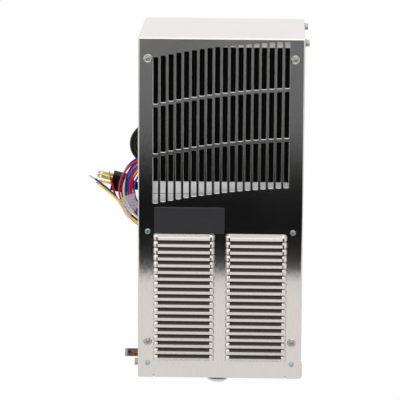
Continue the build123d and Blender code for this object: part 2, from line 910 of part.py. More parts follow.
# Base tray with low walls between the posts
with BuildPart() as base_tray:
    with BuildSketch(Plane.XY.offset(tray_bottom)):
        with Locations((0, (cover_back_y + panel_front_y) / 2)):
            Rectangle(2 * inner_x, panel_front_y - cover_back_y)
    extrude(amount=panel_sheet)
    fillet(base_tray.edges().filter_by(Axis.Z).group_by(Axis.Y)[0], radius=cover_bend - cover_sheet)
    with BuildSketch(Plane.XY.offset(tray_top)):
        with Locations((0, (cover_back_y + panel_front_y) / 2)):
            Rectangle(2 * (web_x - slip_gap), panel_front_y - cover_back_y - 2 * (frame_sheet + slip_gap))
            Rectangle(
                2 * (web_x - slip_gap - panel_sheet),
                panel_front_y - cover_back_y - 2 * (frame_sheet + slip_gap + panel_sheet),
                mode=Mode.SUBTRACT,
            )
    extrude(amount=tray_wall)
    with BuildSketch(Plane.XY.offset(tray_bottom - overrun)):
        with Locations((cap_offset, cap_y)):
            Circle(cap_plug_radius + screw_hole_gap)
    extrude(amount=panel_sheet + 2 * overrun, mode=Mode.SUBTRACT)
finish(base_tray.part, "base_tray")

# Partition between the outside air and the enclosure air
partition_bottom = tray_top + tray_wall + seat_gap
with BuildPart() as partition:
    with BuildSketch(at_y(partition_front_y)):
        with Locations((0, (partition_bottom + frame_top) / 2)):
            Rectangle(2 * web_x, frame_top - partition_bottom)
    extrude(amount=-frame_sheet)
    with BuildSketch(at_y(partition_y)):
        with Locations((0, (partition_bottom + frame_top) / 2)):
            Rectangle(2 * web_x, frame_top - partition_bottom)
            Rectangle(
                2 * (web_x - frame_sheet),
                frame_top - partition_bottom - 2 * frame_sheet,
                mode=Mode.SUBTRACT,
            )
    extrude(amount=-partition_flange)
    with BuildSketch(at_y(partition_front_y - overrun)):
        with Locations((suction_x, suction_level)):
            Circle(suction_radius + line_hole_gap)
        with Locations((capillary_exit_x, capillary_exit_z)):
            Circle(capillary_radius + line_hole_gap)
        with Locations((drain_x, drain_z)):
            Circle(drain_radius + line_hole_gap)
    extrude(amount=-(frame_sheet + 2 * overrun), mode=Mode.SUBTRACT)
finish(partition.part, "partition")

# Foam liner on the enclosure side of the partition
with BuildPart() as foam_liner:
    with BuildSketch(at_y(partition_y)):
        with Locations((0, foam_lift)):
            Rectangle(foam_width, foam_height)
        with Locations((0, blower_height)):
            Circle(stator_flange_radius + foam_hole_gap, mode=Mode.SUBTRACT)
        with Locations((capillary_exit_x, capillary_exit_z)):
            Circle(capillary_radius + line_hole_gap, mode=Mode.SUBTRACT)
    extrude(amount=-foam_thick)
finish(foam_liner.part, "foam_liner")


def coil_route(end_x, turn_x, front_row, back_row, high, pitch, levels):
    """Points of a serpentine from the top of the back row to the bottom of the front row."""
    points = [(end_x, back_row, high)]
    for level in range(levels):
        z = high - level * pitch
        points.append((-turn_x, back_row, z))
        points.append((-turn_x, front_row, z))
        if level < levels - 1:
            points.append((turn_x, front_row, z))
            points.append((turn_x, back_row, z - pitch))
    points.append((end_x, front_row, high - (levels - 1) * pitch))
    return points


# Condenser: a ribbed fin block, one serpentine tube, two tube plates, and channels above and below
with BuildPart() as condenser_fins:
    with BuildSketch(Plane.XY.offset(coil_bottom)):
        with Locations((0, coil_middle_y)):
            Rectangle(coil_width, coil_depth)
            with GridLocations(fin_pitch, coil_depth, int(coil_width / fin_pitch) - 1, 2):
                Rectangle(fin_gap, 2 * fin_cut, mode=Mode.SUBTRACT)
    extrude(amount=coil_height)
    with BuildSketch(Plane.YZ.offset(-coil_width / 2 - overrun)):
        with Locations((coil_middle_y, coil_middle_z)):
            with GridLocations(coil_row_spacing, coil_tube_pitch, 2, coil_levels):
                Circle(coil_tube + tube_fit)
    extrude(amount=coil_width + 2 * overrun, mode=Mode.SUBTRACT)
finish(condenser_fins.part, "condenser_fins")

coil_turn_x = coil_plate_x + coil_turn + seat_gap
condenser_tubes = route_tube(
    coil_route(
        coil_end_x, coil_turn_x, coil_row_front, coil_row_back, coil_high, coil_tube_pitch, coil_levels
    ),
    coil_turn,
    coil_tube,
    coil_tube_wall,
)
finish(condenser_tubes, "condenser_tubes")

with BuildPart() as condenser_end_plates:
    for side in (-1, 1):
        with BuildSketch(Plane.YZ.offset(side * coil_width / 2)):
            with Locations((coil_middle_y, (baffle_top + coil_top + channel_rise) / 2)):
                Rectangle(coil_depth, coil_top + channel_rise - baffle_top)
            with Locations((coil_middle_y, coil_middle_z)):
                with GridLocations(coil_row_spacing, coil_tube_pitch, 2, coil_levels):
                    Circle(coil_tube + tube_fit, mode=Mode.SUBTRACT)
        extrude(amount=side * frame_sheet)
finish(condenser_end_plates.part, "condenser_end_plates")

with BuildPart() as coil_channels:
    for web_z, flange_low, flange_high in (
        (coil_top, coil_top, coil_top + channel_rise),
        (coil_bottom - frame_sheet, baffle_top + channel_gap, coil_bottom),
    ):
        with BuildSketch(Plane.YZ.offset(-coil_width / 2)):
            with Locations((coil_middle_y, web_z + frame_sheet / 2)):
                Rectangle(coil_depth, frame_sheet)
            for edge_y in (coil_front_y + frame_sheet / 2, coil_back_y - frame_sheet / 2):
                with Locations((edge_y, (flange_low + flange_high) / 2)):
                    Rectangle(frame_sheet, flange_high - flange_low)
        extrude(amount=coil_width)
finish(coil_channels.part, "coil_channels")

# Baffle under the coil that keeps warm exhaust air away from the intake
baffle_y = front_y + baffle_setback
with BuildPart() as air_baffle:
    with BuildSketch(Plane.YZ.offset(-web_x)):
        with Locations(((baffle_y + shroud_back_y) / 2, baffle_top - frame_sheet / 2)):
            Rectangle(shroud_back_y - baffle_y, frame_sheet)
        with Locations((baffle_y + frame_sheet / 2, baffle_top - baffle_drop / 2)):
            Rectangle(frame_sheet, baffle_drop)
    extrude(amount=2 * web_x)
    with BuildSketch(Plane.XY.offset(baffle_top - frame_sheet - overrun)):
        with Locations((liquid_x, coil_row_front)):
            Circle(discharge_radius + line_hole_gap)
    extrude(amount=frame_sheet + 2 * overrun, mode=Mode.SUBTRACT)
finish(air_baffle.part, "air_baffle")

# Shroud plate with a round collar for the condenser fan
collar_radius = fan_radius + fan_tip_gap
with BuildPart() as fan_shroud:
    with BuildSketch(at_y(coil_back_y)):
        with Locations((0, (baffle_top + frame_top) / 2)):
            Rectangle(2 * web_x, frame_top - baffle_top)
        with Locations((0, fan_height)):
            Circle(collar_radius, mode=Mode.SUBTRACT)
        with Locations((discharge_x, coil_high)):
            Circle(discharge_radius + line_hole_gap, mode=Mode.SUBTRACT)
    extrude(amount=-frame_sheet)
    with BuildSketch(at_y(coil_back_y)):
        with Locations((0, fan_height)):
            Circle(collar_radius + frame_sheet)
            Circle(collar_radius, mode=Mode.SUBTRACT)
    extrude(amount=-frame_sheet - fan_collar)
finish(fan_shroud.part, "fan_shroud")

# Propeller of the condenser fan: each blade lofts from a steep root to a flatter tip
blade_middle_y = (hub_front_y + hub_back_y) / 2
blade_reach = hypot(fan_radius, fan_tip_chord / 2) + overrun
with BuildPart() as fan_blade:
    blade_line = Plane(origin=(0, blade_middle_y, fan_height))
    root_plane = blade_line.offset(fan_hub_radius - overrun)
    tip_plane = blade_line.offset(blade_reach)
    with BuildSketch(root_plane):
        Rectangle(fan_root_chord, fan_blade_thick, rotation=fan_root_angle)
    with BuildSketch(tip_plane):
        Rectangle(fan_tip_chord, fan_blade_thick, rotation=fan_tip_angle)
    loft()
    with BuildSketch(at_y(hub_front_y - fan_tip_chord)):
        with Locations((0, fan_height)):
            Circle(fan_radius)
    extrude(amount=-(fan_hub_depth + 2 * fan_tip_chord), mode=Mode.INTERSECT)

with BuildPart() as condenser_impeller:
    with BuildSketch(at_y(hub_front_y)):
        with Locations((0, fan_height)):
            Circle(fan_hub_radius)
    extrude(amount=-fan_hub_depth)
    fillet(condenser_impeller.faces().sort_by(Axis.Y)[0].edges(), radius=hub_round)
    for blade in range(fan_blades):
        add(fan_blade.part.rotate(Axis((0, 0, fan_height), (0, 1, 0)), 360 * blade / fan_blades))
    with BuildSketch(at_y(hub_front_y + motor_bell)):
        with Locations((0, fan_height)):
            Circle(shaft_radius)
    extrude(amount=-fan_hub_depth, mode=Mode.SUBTRACT)
finish(condenser_impeller.part, "condenser_impeller")

with BuildPart() as condenser_shaft:
    with BuildSketch(at_y(hub_front_y + motor_bell)):
        with Locations((0, fan_height)):
            Circle(shaft_radius)
    extrude(amount=-(motor_front_y + shaft_reach - hub_front_y - motor_bell))
finish(condenser_shaft.part, "condenser_shaft")

with BuildPart() as condenser_motor:
    with BuildSketch(at_y(motor_front_y)):
        with Locations((0, fan_height)):
            Circle(motor_radius)
    extrude(amount=-motor_length)
    fillet(condenser_motor.edges().filter_by(GeomType.CIRCLE), radius=motor_round)
    with BuildSketch(at_y(motor_front_y - motor_bell)):
        with Locations((0, fan_height)):
            Circle(motor_bell_radius)
    extrude(amount=-motor_bell)
    with BuildSketch(at_y(motor_front_y - motor_bell)):
        with Locations((0, fan_height)):
            Circle(shaft_radius + running_gap)
    extrude(amount=-(motor_bell + shaft_reach + overrun), mode=Mode.SUBTRACT)
finish(condenser_motor.part, "condenser_motor")

# Hat bracket between the partition and the motor
with BuildPart() as motor_bracket:
    with BuildSketch(Plane.XY.offset(fan_height - bracket_width / 2)):
        with BuildLine():
            Polyline(
                (-bracket_span / 2, partition_front_y),
                (-bracket_span / 2, partition_front_y - frame_sheet),
                (bracket_foot - bracket_span / 2 - frame_sheet, partition_front_y - frame_sheet),
                (bracket_foot - bracket_span / 2 - frame_sheet, motor_back_y),
                (bracket_span / 2 - bracket_foot + frame_sheet, motor_back_y),
                (bracket_span / 2 - bracket_foot + frame_sheet, partition_front_y - frame_sheet),
                (bracket_span / 2, partition_front_y - frame_sheet),
                (bracket_span / 2, partition_front_y),
                (bracket_span / 2 - bracket_foot, partition_front_y),
                (bracket_span / 2 - bracket_foot, motor_back_y + frame_sheet),
                (bracket_foot - bracket_span / 2, motor_back_y + frame_sheet),
                (bracket_foot - bracket_span / 2, partition_front_y),
                close=True,
            )
        make_face()
    extrude(amount=bracket_width)
finish(motor_bracket.part, "motor_bracket")

# Hermetic compressor on a foot plate, four rubber grommets and four studs with nuts
compressor_plane = Plane(origin=(compressor_x, compressor_y, 0))
with BuildPart() as compressor_shell:
    with BuildSketch(compressor_plane.offset(foot_z)):
        RectangleRounded(foot_width, foot_depth, foot_corner)
        with GridLocations(foot_spacing_x, foot_spacing_y, 2, 2):
            Circle(stud_radius + stud_gap, mode=Mode.SUBTRACT)
    extrude(amount=foot_thick)
    with BuildSketch(Plane.XZ.offset(compressor_back)):
        with BuildLine():
            Line(
                (compressor_x, shell_bottom),
                (compressor_x + compressor_radius - compressor_base_round, shell_bottom),
            )
            RadiusArc(
                (compressor_x + compressor_radius - compressor_base_round, shell_bottom),
                (compressor_x + compressor_radius, shell_bottom + compressor_base_round),
                -compressor_base_round,
            )
            Line(
                (compressor_x + compressor_radius, shell_bottom + compressor_base_round),
                (compressor_x + compressor_radius, shell_top - compressor_dome),
            )
            RadiusArc(
                (compressor_x + compressor_radius, shell_top - compressor_dome),
                (compressor_x + compressor_radius - compressor_dome, shell_top),
                -compressor_dome,
            )
            Line((compressor_x + compressor_radius - compressor_dome, shell_top), (compressor_x, shell_top))
            Line((compressor_x, shell_top), (compressor_x, shell_bottom))
        make_face()
    revolve(axis=Axis((compressor_x, compressor_y, 0), (0, 0, 1)))
    with BuildSketch(compressor_plane.offset((shell_bottom + shell_top) / 2 - seam_height / 2)):
        Circle(seam_radius)
    extrude(amount=seam_height)
    with BuildSketch(compressor_plane.offset(shell_top - overrun)):
        with Locations((stub_spacing / 2, 0)):
            Circle(discharge_radius)
        with Locations((-stub_spacing / 2, 0)):
            Circle(suction_radius)
    extrude(amount=stub_height + overrun)
finish(compressor_shell.part, "compressor_shell")

with BuildPart() as compressor_cover:
    terminal_x = compressor_x + seam_radius + seat_gap
    with BuildSketch(Plane.XY.offset(foot_z + terminal_lift)):
        with Locations((terminal_x + terminal_width / 2, compressor_y)):
            Rectangle(terminal_width, terminal_depth)
    extrude(amount=terminal_height)
    fillet(compressor_cover.edges().filter_by(Axis.Z).group_by(Axis.X)[-1], radius=terminal_round)
finish(compressor_cover.part, "compressor_cover")

with BuildPart() as grommets:
    with BuildSketch(compressor_plane.offset(tray_top)):
        with GridLocations(foot_spacing_x, foot_spacing_y, 2, 2):
            Circle(grommet_radius)
            Circle(stud_radius + stud_gap, mode=Mode.SUBTRACT)
    extrude(amount=grommet_height)
    round_edges = grommets.edges().filter_by(GeomType.CIRCLE)
    fillet(round_edges.filter_by(lambda edge: edge.radius > stud_radius + 2 * stud_gap), radius=grommet_round)
finish(grommets.part, "grommets")

with BuildPart() as compressor_studs:
    with BuildSketch(compressor_plane.offset(tray_top)):
        with GridLocations(foot_spacing_x, foot_spacing_y, 2, 2):
            Circle(stud_radius)
    extrude(amount=grommet_height + foot_thick + nut_washer_height + nut_height + stud_proud)
    with BuildSketch(compressor_plane.offset(shell_bottom)):
        with GridLocations(foot_spacing_x, foot_spacing_y, 2, 2):
            Circle(nut_washer_radius)
    extrude(amount=nut_washer_height)
    with BuildSketch(compressor_plane.offset(shell_bottom + nut_washer_height)):
        with GridLocations(foot_spacing_x, foot_spacing_y, 2, 2):
            RegularPolygon(nut_flats / 2, 6, major_radius=False)
    extrude(amount=nut_height)
finish(compressor_studs.part, "compressor_studs")

# Refrigerant lines, filter drier and capillary tube
discharge_line = route_tube(
    [
        (discharge_start_x, compressor_y, stub_top),
        (discharge_start_x, compressor_y, stub_top + discharge_rise),
        (discharge_x, compressor_y, stub_top + discharge_rise),
        (discharge_x, compressor_y, coil_high),
        (discharge_x, coil_row_back, coil_high),
        (coil_end_x, coil_row_back, coil_high),
    ],
    [discharge_bend, discharge_bend, discharge_bend, small_bend],
    discharge_radius,
    line_wall,
)
finish(discharge_line, "discharge_line")

suction_line = route_tube(
    [
        (evap_end_x, evap_row_back, evap_high),
        (suction_x, evap_row_back, evap_high),
        (suction_x, evap_row_back, suction_level),
        (suction_x, -suction_back, suction_level),
        (suction_end_x, -suction_back, suction_level),
        (suction_end_x, compressor_y, suction_level),
        (suction_end_x, compressor_y, stub_top),
    ],
    [suction_bend, suction_bend, suction_bend, suction_low_bend, suction_low_bend],
    suction_radius,
    line_wall,
)
finish(suction_line, "suction_line")

liquid_line = route_tube(
    [
        (coil_end_x, coil_row_front, coil_low),
        (liquid_x, coil_row_front, coil_low),
        (liquid_x, coil_row_front, liquid_level),
        (liquid_x, -liquid_back, liquid_level),
        (liquid_x, -liquid_back, drier_top),
    ],
    [small_bend, discharge_bend, discharge_bend],
    discharge_radius,
    line_wall,
)
finish(liquid_line, "liquid_line")

with BuildPart() as filter_drier:
    with BuildSketch(Plane.XZ.offset(liquid_back)):
        with BuildLine():
            Polyline(
                (liquid_x, drier_top),
                (liquid_x + discharge_radius, drier_top),
                (liquid_x + discharge_radius, drier_top - drier_neck),
                (liquid_x + drier_radius, drier_top - drier_neck - drier_taper),
                (liquid_x + drier_radius, drier_bottom + drier_neck + drier_taper),
                (liquid_x + discharge_radius, drier_bottom + drier_neck),
                (liquid_x + discharge_radius, drier_bottom),
                (liquid_x, drier_bottom),
                close=True,
            )
        make_face()
    revolve(axis=Axis((liquid_x, -liquid_back, 0), (0, 0, 1)))
finish(filter_drier.part, "filter_drier")

capillary_points = [(liquid_x, -liquid_back, drier_bottom)]
capillary_corners = ((0, 0), (0, -capillary_side), (-capillary_side, -capillary_side), (-capillary_side, 0))
for step in range(4 * capillary_turns - 1):
    corner_x, corner_y = capillary_corners[step % 4]
    turn_z = capillary_start_z - step * capillary_step
    capillary_points.append((liquid_x + corner_x, corner_y - liquid_back, turn_z))
capillary_points += [
    (capillary_exit_x, -capillary_back, capillary_exit_z),
    (capillary_exit_x, -capillary_back, evap_low),
    (liquid_x, -capillary_back, evap_low),
    (liquid_x, evap_row_front, evap_low),
    (evap_end_x, evap_row_front, evap_low),
]
capillary_tube = route_tube(capillary_points, capillary_bend, capillary_radius, 0)
finish(capillary_tube, "capillary_tube")

# Evaporator: fin block, serpentine tube and two end plates that stand in the drain pan
with BuildPart() as evaporator_fins:
    with BuildSketch(Plane.XY.offset(evap_bottom)):
        with Locations((0, evap_middle_y)):
            Rectangle(evap_width, evap_depth)
            with GridLocations(fin_pitch, evap_depth, int(evap_width / fin_pitch) - 1, 2):
                Rectangle(fin_gap, 2 * evap_cut, mode=Mode.SUBTRACT)
    extrude(amount=evap_height)
    with BuildSketch(Plane.YZ.offset(-evap_width / 2 - overrun)):
        with Locations((evap_middle_y, evap_middle_z)):
            with GridLocations(evap_row_spacing, evap_tube_pitch, 2, evap_levels):
                Circle(evap_tube + tube_fit)
    extrude(amount=evap_width + 2 * overrun, mode=Mode.SUBTRACT)
finish(evaporator_fins.part, "evaporator_fins")

evap_turn_x = evap_plate_x + evap_turn + seat_gap
evaporator_tubes = route_tube(
    coil_route(
        evap_end_x, evap_turn_x, evap_row_front, evap_row_back, evap_high, evap_tube_pitch, evap_levels
    ),
    evap_turn,
    evap_tube,
    coil_tube_wall,
)
finish(evaporator_tubes, "evaporator_tubes")

with BuildPart() as evaporator_end_plates:
    plate_top = evap_bottom + evap_height + evap_plate_rise
    for side in (-1, 1):
        with BuildSketch(Plane.YZ.offset(side * evap_width / 2)):
            with Locations(((evap_front_y + panel_front_y) / 2, (plate_top + pan_top + pan_wall) / 2)):
                Rectangle(panel_front_y - evap_front_y, plate_top - pan_top - pan_wall)
            with Locations((evap_middle_y, (pan_floor + pan_wall + plate_top) / 2)):
                Rectangle(evap_depth, plate_top - pan_floor - pan_wall)
            with Locations((evap_middle_y, evap_middle_z)):
                with GridLocations(evap_row_spacing, evap_tube_pitch, 2, evap_levels):
                    Circle(evap_tube + tube_fit, mode=Mode.SUBTRACT)
        extrude(amount=side * frame_sheet)
finish(evaporator_end_plates.part, "evaporator_end_plates")

pan_front_y = blower_plate_y + seat_gap
pan_depth = panel_front_y - pan_front_y
with BuildPart() as drain_pan:
    with BuildSketch(Plane.XY.offset(pan_floor)):
        with Locations((0, (pan_front_y + panel_front_y) / 2)):
            Rectangle(pan_width, pan_depth)
    extrude(amount=pan_height)
    with BuildSketch(Plane.XY.offset(pan_floor + pan_wall)):
        with Locations((0, (pan_front_y + panel_front_y) / 2)):
            Rectangle(pan_width - 2 * pan_wall, pan_depth - 2 * pan_wall)
    extrude(amount=pan_height, mode=Mode.SUBTRACT)
    with BuildSketch(Plane.XY.offset(pan_floor)):
        with Locations((spigot_x, -spigot_back)):
            Circle(drain_radius)
    extrude(amount=-spigot_length)
    with BuildSketch(Plane.XY.offset(pan_floor + pan_height)):
        with Locations((spigot_x, -spigot_back)):
            Circle(spigot_bore)
    extrude(amount=-(pan_height + spigot_length + overrun), mode=Mode.SUBTRACT)
finish(drain_pan.part, "drain_pan")

# Blower: inlet plate, backward-curved wheel, rotor cup with its shaft, and stator
with BuildPart() as blower_plate:
    with BuildSketch(at_y(blower_plate_y)):
        with Locations((0, (blower_plate_bottom + frame_top) / 2)):
            Rectangle(2 * web_x, frame_top - blower_plate_bottom)
        with Locations((0, blower_height)):
            Circle(blower_inlet, mode=Mode.SUBTRACT)
        with Locations((liquid_x, evap_low)):
            Circle(capillary_radius + line_hole_gap, mode=Mode.SUBTRACT)
    extrude(amount=frame_sheet)
    with BuildSketch(at_y(blower_plate_y)):
        with Locations((0, blower_height)):
            Circle(blower_inlet)
            Circle(blower_inlet - frame_sheet, mode=Mode.SUBTRACT)
    extrude(amount=blower_lip)
finish(blower_plate.part, "blower_plate")

with BuildPart() as blower_wheel:
    with BuildSketch(at_y(wheel_front_y)):
        with Locations((0, blower_height)):
            Circle(wheel_radius)
            Circle(rotor_radius, mode=Mode.SUBTRACT)
    extrude(amount=-wheel_plate)
    with BuildSketch(at_y(wheel_back_y)):
        with Locations((0, blower_height)):
            Circle(wheel_radius)
            Circle(wheel_inner, mode=Mode.SUBTRACT)
    extrude(amount=wheel_plate)
    blade_length_across = (wheel_radius - wheel_blade_start) / cos(radians(wheel_blade_lean / 2))
    with BuildSketch(at_y(wheel_front_y)) as wheel_blade_plan:
        with Locations((0, blower_height)):
            with PolarLocations((wheel_radius + wheel_blade_start) / 2, wheel_blades):
                Rectangle(blade_length_across, wheel_blade_thick, rotation=wheel_blade_lean)
            Circle(wheel_radius, mode=Mode.INTERSECT)
    extrude(amount=-wheel_depth)
finish(blower_wheel.part, "blower_wheel")

with BuildPart() as blower_rotor:
    with BuildSketch(at_y(rotor_front_y)):
        with Locations((0, blower_height)):
            Circle(rotor_radius)
    extrude(amount=-rotor_depth)
    with BuildSketch(at_y(rotor_front_y)):
        with Locations((0, blower_height)):
            Circle(rotor_radius - rotor_wall)
    extrude(amount=-(rotor_depth - rotor_end), mode=Mode.SUBTRACT)
    with BuildSketch(at_y(rotor_back_y - rotor_end)):
        with Locations((0, blower_height)):
            Circle(blower_shaft_radius)
    extrude(amount=rotor_depth - rotor_end)
finish(blower_rotor.part, "blower_rotor")

with BuildPart() as blower_motor:
    with BuildSketch(at_y(partition_y)):
        with Locations((0, blower_height)):
            Circle(stator_flange_radius)
    extrude(amount=-stator_flange_thick)
    with BuildSketch(at_y(stator_flange_y)):
        with Locations((0, blower_height)):
            Circle(stator_radius)
    extrude(amount=-(stator_back_y - stator_flange_y))
    with BuildSketch(at_y(partition_y + overrun)):
        with Locations((0, blower_height)):
            Circle(blower_shaft_radius + running_gap)
    extrude(amount=-(rotor_back_y - partition_y), mode=Mode.SUBTRACT)
finish(blower_motor.part, "blower_motor")

# Control box behind the rear panel, and its lid on the rear face
with BuildPart() as control_box:
    with BuildSketch(at_y(box_front_y)):
        with Locations((control_x, control_z)):
            Rectangle(control_width, control_height)
    extrude(amount=-control_depth)
    with BuildSketch(at_y(box_front_y + frame_sheet)):
        with Locations((control_x, control_z)):
            Rectangle(box_inner_width, box_inner_height)
    extrude(amount=-control_depth, mode=Mode.SUBTRACT)
finish(control_box.part, "control_box")

with BuildPart() as control_lid:
    with BuildSketch(at_y(0)):
        with Locations((control_x, control_z)):
            RectangleRounded(control_width + 2 * lid_overlap, control_height + 2 * lid_overlap, lid_corner)
        with Locations((bushing_x, bushing_z)):
            Circle(bushing_neck + seat_gap, mode=Mode.SUBTRACT)
        with Locations((thermostat_x, thermostat_z)):
            Circle(spindle_radius + seat_gap, mode=Mode.SUBTRACT)
    extrude(amount=-frame_sheet)
finish(control_lid.part, "control_lid")

with BuildPart() as run_capacitor:
    capacitor_y = box_front_y + frame_sheet + capacitor_radius
    with BuildSketch(Plane.XY.offset(control_z - control_height / 2 + frame_sheet)):
        with Locations((capacitor_x, capacitor_y)):
            Circle(capacitor_radius)
    extrude(amount=capacitor_length)
    fillet(run_capacitor.edges().filter_by(GeomType.CIRCLE).group_by(Axis.Z)[-1], radius=capacitor_round)
    with BuildSketch(Plane.XY.offset(control_z - control_height / 2 + frame_sheet + capacitor_length)):
        with Locations((capacitor_x, capacitor_y)):
            Circle(capacitor_cap_radius)
    extrude(amount=capacitor_cap)
finish(run_capacitor.part, "run_capacitor")

with BuildPart() as thermostat_body:
    with BuildSketch(at_y(0)):
        with Locations((thermostat_x, thermostat_z)):
            Rectangle(thermostat_width, thermostat_height)
    extrude(amount=thermostat_depth)
    with BuildSketch(at_y(0)):
        with Locations((thermostat_x, thermostat_z)):
            Circle(spindle_radius + running_gap)
    extrude(amount=thermostat_depth - thermostat_floor, mode=Mode.SUBTRACT)
finish(thermostat_body.part, "thermostat_body")

dial_y = lid_back_y + dial_lift
with BuildPart() as thermostat_dial:
    with BuildSketch(at_y(dial_y)):
        with Locations((thermostat_x, thermostat_z)):
            Circle(dial_radius)
    extrude(amount=-dial_thick)
    chamfer(thermostat_dial.faces().sort_by(Axis.Y)[-1].edges(), length=dial_edge)
    with BuildSketch(at_y(dial_y + dial_thick)):
        with Locations((thermostat_x, thermostat_z)):
            Circle(dial_grip_radius)
        with Locations((thermostat_x, thermostat_z + dial_grip_radius)):
            Rectangle(dial_pointer, dial_pointer)
    extrude(amount=-dial_grip_height)
    with BuildSketch(at_y(dial_y)):
        with Locations((thermostat_x, thermostat_z)):
            Circle(spindle_radius)
    extrude(amount=spindle_reach)
finish(thermostat_dial.part, "thermostat_dial")

# Right-angle strain relief on the lid
gland_axis_y = lid_back_y + gland_axis_lift
with BuildPart() as cord_gland:
    with BuildSketch(at_y(lid_back_y)):
        with Locations((gland_x, gland_z)):
            Circle(gland_base_radius)
    extrude(amount=-gland_base_height)
    with BuildSketch(at_y(lid_back_y)):
        with Locations((gland_x, gland_z)):
            Circle(gland_body_radius)
    extrude(amount=-gland_axis_lift)
    with Locations((gland_x, gland_axis_y, gland_z)):
        Sphere(gland_body_radius)
    with BuildSketch(Plane(origin=(gland_x, gland_axis_y, gland_z), x_dir=(0, 1, 0), z_dir=(-1, 0, 0))):
        Circle(gland_root_radius)
    extrude(amount=gland_length, taper=gland_taper)
finish(cord_gland.part, "cord_gland")

# Power cord: lead, hank, and tail to the plug
power_cord_lead = cord_tube("power_cord_lead", lead_points, cord_radius)
finish(power_cord_lead, "power_cord_lead")

with BuildPart() as cord_hank:
    with BuildSketch(at_y(hank_start)):
        with Locations((hank_x, hank_z)):
            SlotCenterToCenter(hank_run, 2 * hank_outer)
            SlotCenterToCenter(hank_run, 2 * (hank_outer - 2 * cord_radius), mode=Mode.SUBTRACT)
    extrude(amount=-hank_thick)
    fillet(cord_hank.faces().filter_by(Axis.Y).edges(), radius=hank_round)
finish(cord_hank.part, "cord_hank")

power_cord_tail = cord_tube("power_cord_tail", tail_points, cord_radius)
finish(power_cord_tail, "power_cord_tail")

with BuildPart() as cord_ties:
    tie_depth = hank_start + hank_thick + tie_gap + tie_wall
    tie_height = 2 * (cord_radius + tie_gap + tie_wall)
    for tie_x in tie_places:
        with BuildSketch(Plane.YZ.offset(tie_x - tie_width / 2)):
            with Locations((tie_depth / 2, hank_z + hank_run_z)):
                RectangleRounded(tie_depth, tie_height, tie_round)
                RectangleRounded(
                    tie_depth - 2 * tie_wall,
                    tie_height - 2 * tie_wall,
                    tie_round - tie_wall,
                    mode=Mode.SUBTRACT,
                )
        extrude(amount=tie_width)
finish(cord_ties.part, "cord_ties")

# Plug: tilted along the cord and rolled about its own axis, with two blades and a ground pin
plug_axis = Vector(-cos(radians(plug_tilt)), 0, sin(radians(plug_tilt)))
plug_up = Vector(
    sin(radians(plug_tilt)) * cos(radians(plug_roll)),
    -sin(radians(plug_roll)),
    cos(radians(plug_tilt)) * cos(radians(plug_roll)),
)
plug_face = Vector(plug_x, plug_y, plug_z)
face_plane = Plane(origin=plug_face, x_dir=plug_up, z_dir=plug_axis)
with BuildPart() as plug_body:
    with BuildSketch(face_plane):
        RectangleRounded(plug_tall, plug_wide, plug_corner)
    with BuildSketch(face_plane.offset(-plug_straight)):
        RectangleRounded(plug_tall, plug_wide, plug_corner)
    loft()
    with BuildSketch(face_plane.offset(-plug_straight)):
        RectangleRounded(plug_tall, plug_wide, plug_corner)
    with BuildSketch(face_plane.offset(-plug_body_length)):
        Circle(plug_neck_radius)
    loft()
    with BuildSketch(face_plane.offset(-plug_body_length)):
        Circle(plug_neck_radius)
    with BuildSketch(face_plane.offset(-plug_length)):
        Circle(plug_relief_radius)
    loft()
finish(plug_body.part, "plug_body")

with BuildPart() as plug_prongs:
    with BuildSketch(face_plane):
        with Locations((blade_rise, -blade_spacing / 2), (blade_rise, blade_spacing / 2)):
            Rectangle(blade_wide, blade_thick)
    extrude(amount=blade_length)
    tip_edges = plug_prongs.edges().filter_by(Axis((0, 0, 0), face_plane.y_dir)).sort_by(Axis.X)[:4]
    fillet(tip_edges, radius=blade_round)
    hole_centre = plug_face + plug_axis * (blade_length - blade_hole_inset) + plug_up * blade_rise
    hole_start = hole_centre - face_plane.y_dir * blade_spacing
    with BuildSketch(Plane(origin=hole_start, x_dir=plug_axis, z_dir=face_plane.y_dir)):
        Circle(blade_hole)
    extrude(amount=2 * blade_spacing, mode=Mode.SUBTRACT)
    with BuildSketch(face_plane):
        with Locations((-ground_drop, 0)):
            Circle(ground_radius)
    extrude(amount=ground_length)
    round_edges = plug_prongs.edges().filter_by(GeomType.CIRCLE)
    ground_edges = round_edges.filter_by(lambda edge: edge.radius > blade_hole + touch_gap)
    fillet(ground_edges.sort_by(Axis.X)[0], radius=ground_round)
finish(plug_prongs.part, "plug_prongs")

# Harness: bushing, the taped coil of three wires, and their three ends
with BuildPart() as wire_bushing:
    with BuildSketch(at_y(lid_back_y)):
        with Locations((bushing_x, bushing_z)):
            Circle(bushing_radius)
            Circle(bushing_bore, mode=Mode.SUBTRACT)
    extrude(amount=-bushing_height)
    with BuildSketch(at_y(lid_back_y)):
        with Locations((bushing_x, bushing_z)):
            Circle(bushing_neck)
            Circle(bushing_bore, mode=Mode.SUBTRACT)
    extrude(amount=bushing_height)
finish(wire_bushing.part, "wire_bushing")

with BuildPart() as wire_coil:
    with BuildSketch(at_y(ring_start)):
        with Locations((ring_x, ring_z)):
            Circle(ring_outer)
            Circle(ring_inner, mode=Mode.SUBTRACT)
    extrude(amount=-ring_thick)
    fillet(wire_coil.edges().filter_by(GeomType.CIRCLE), radius=ring_round)
finish(wire_coil.part, "wire_coil")

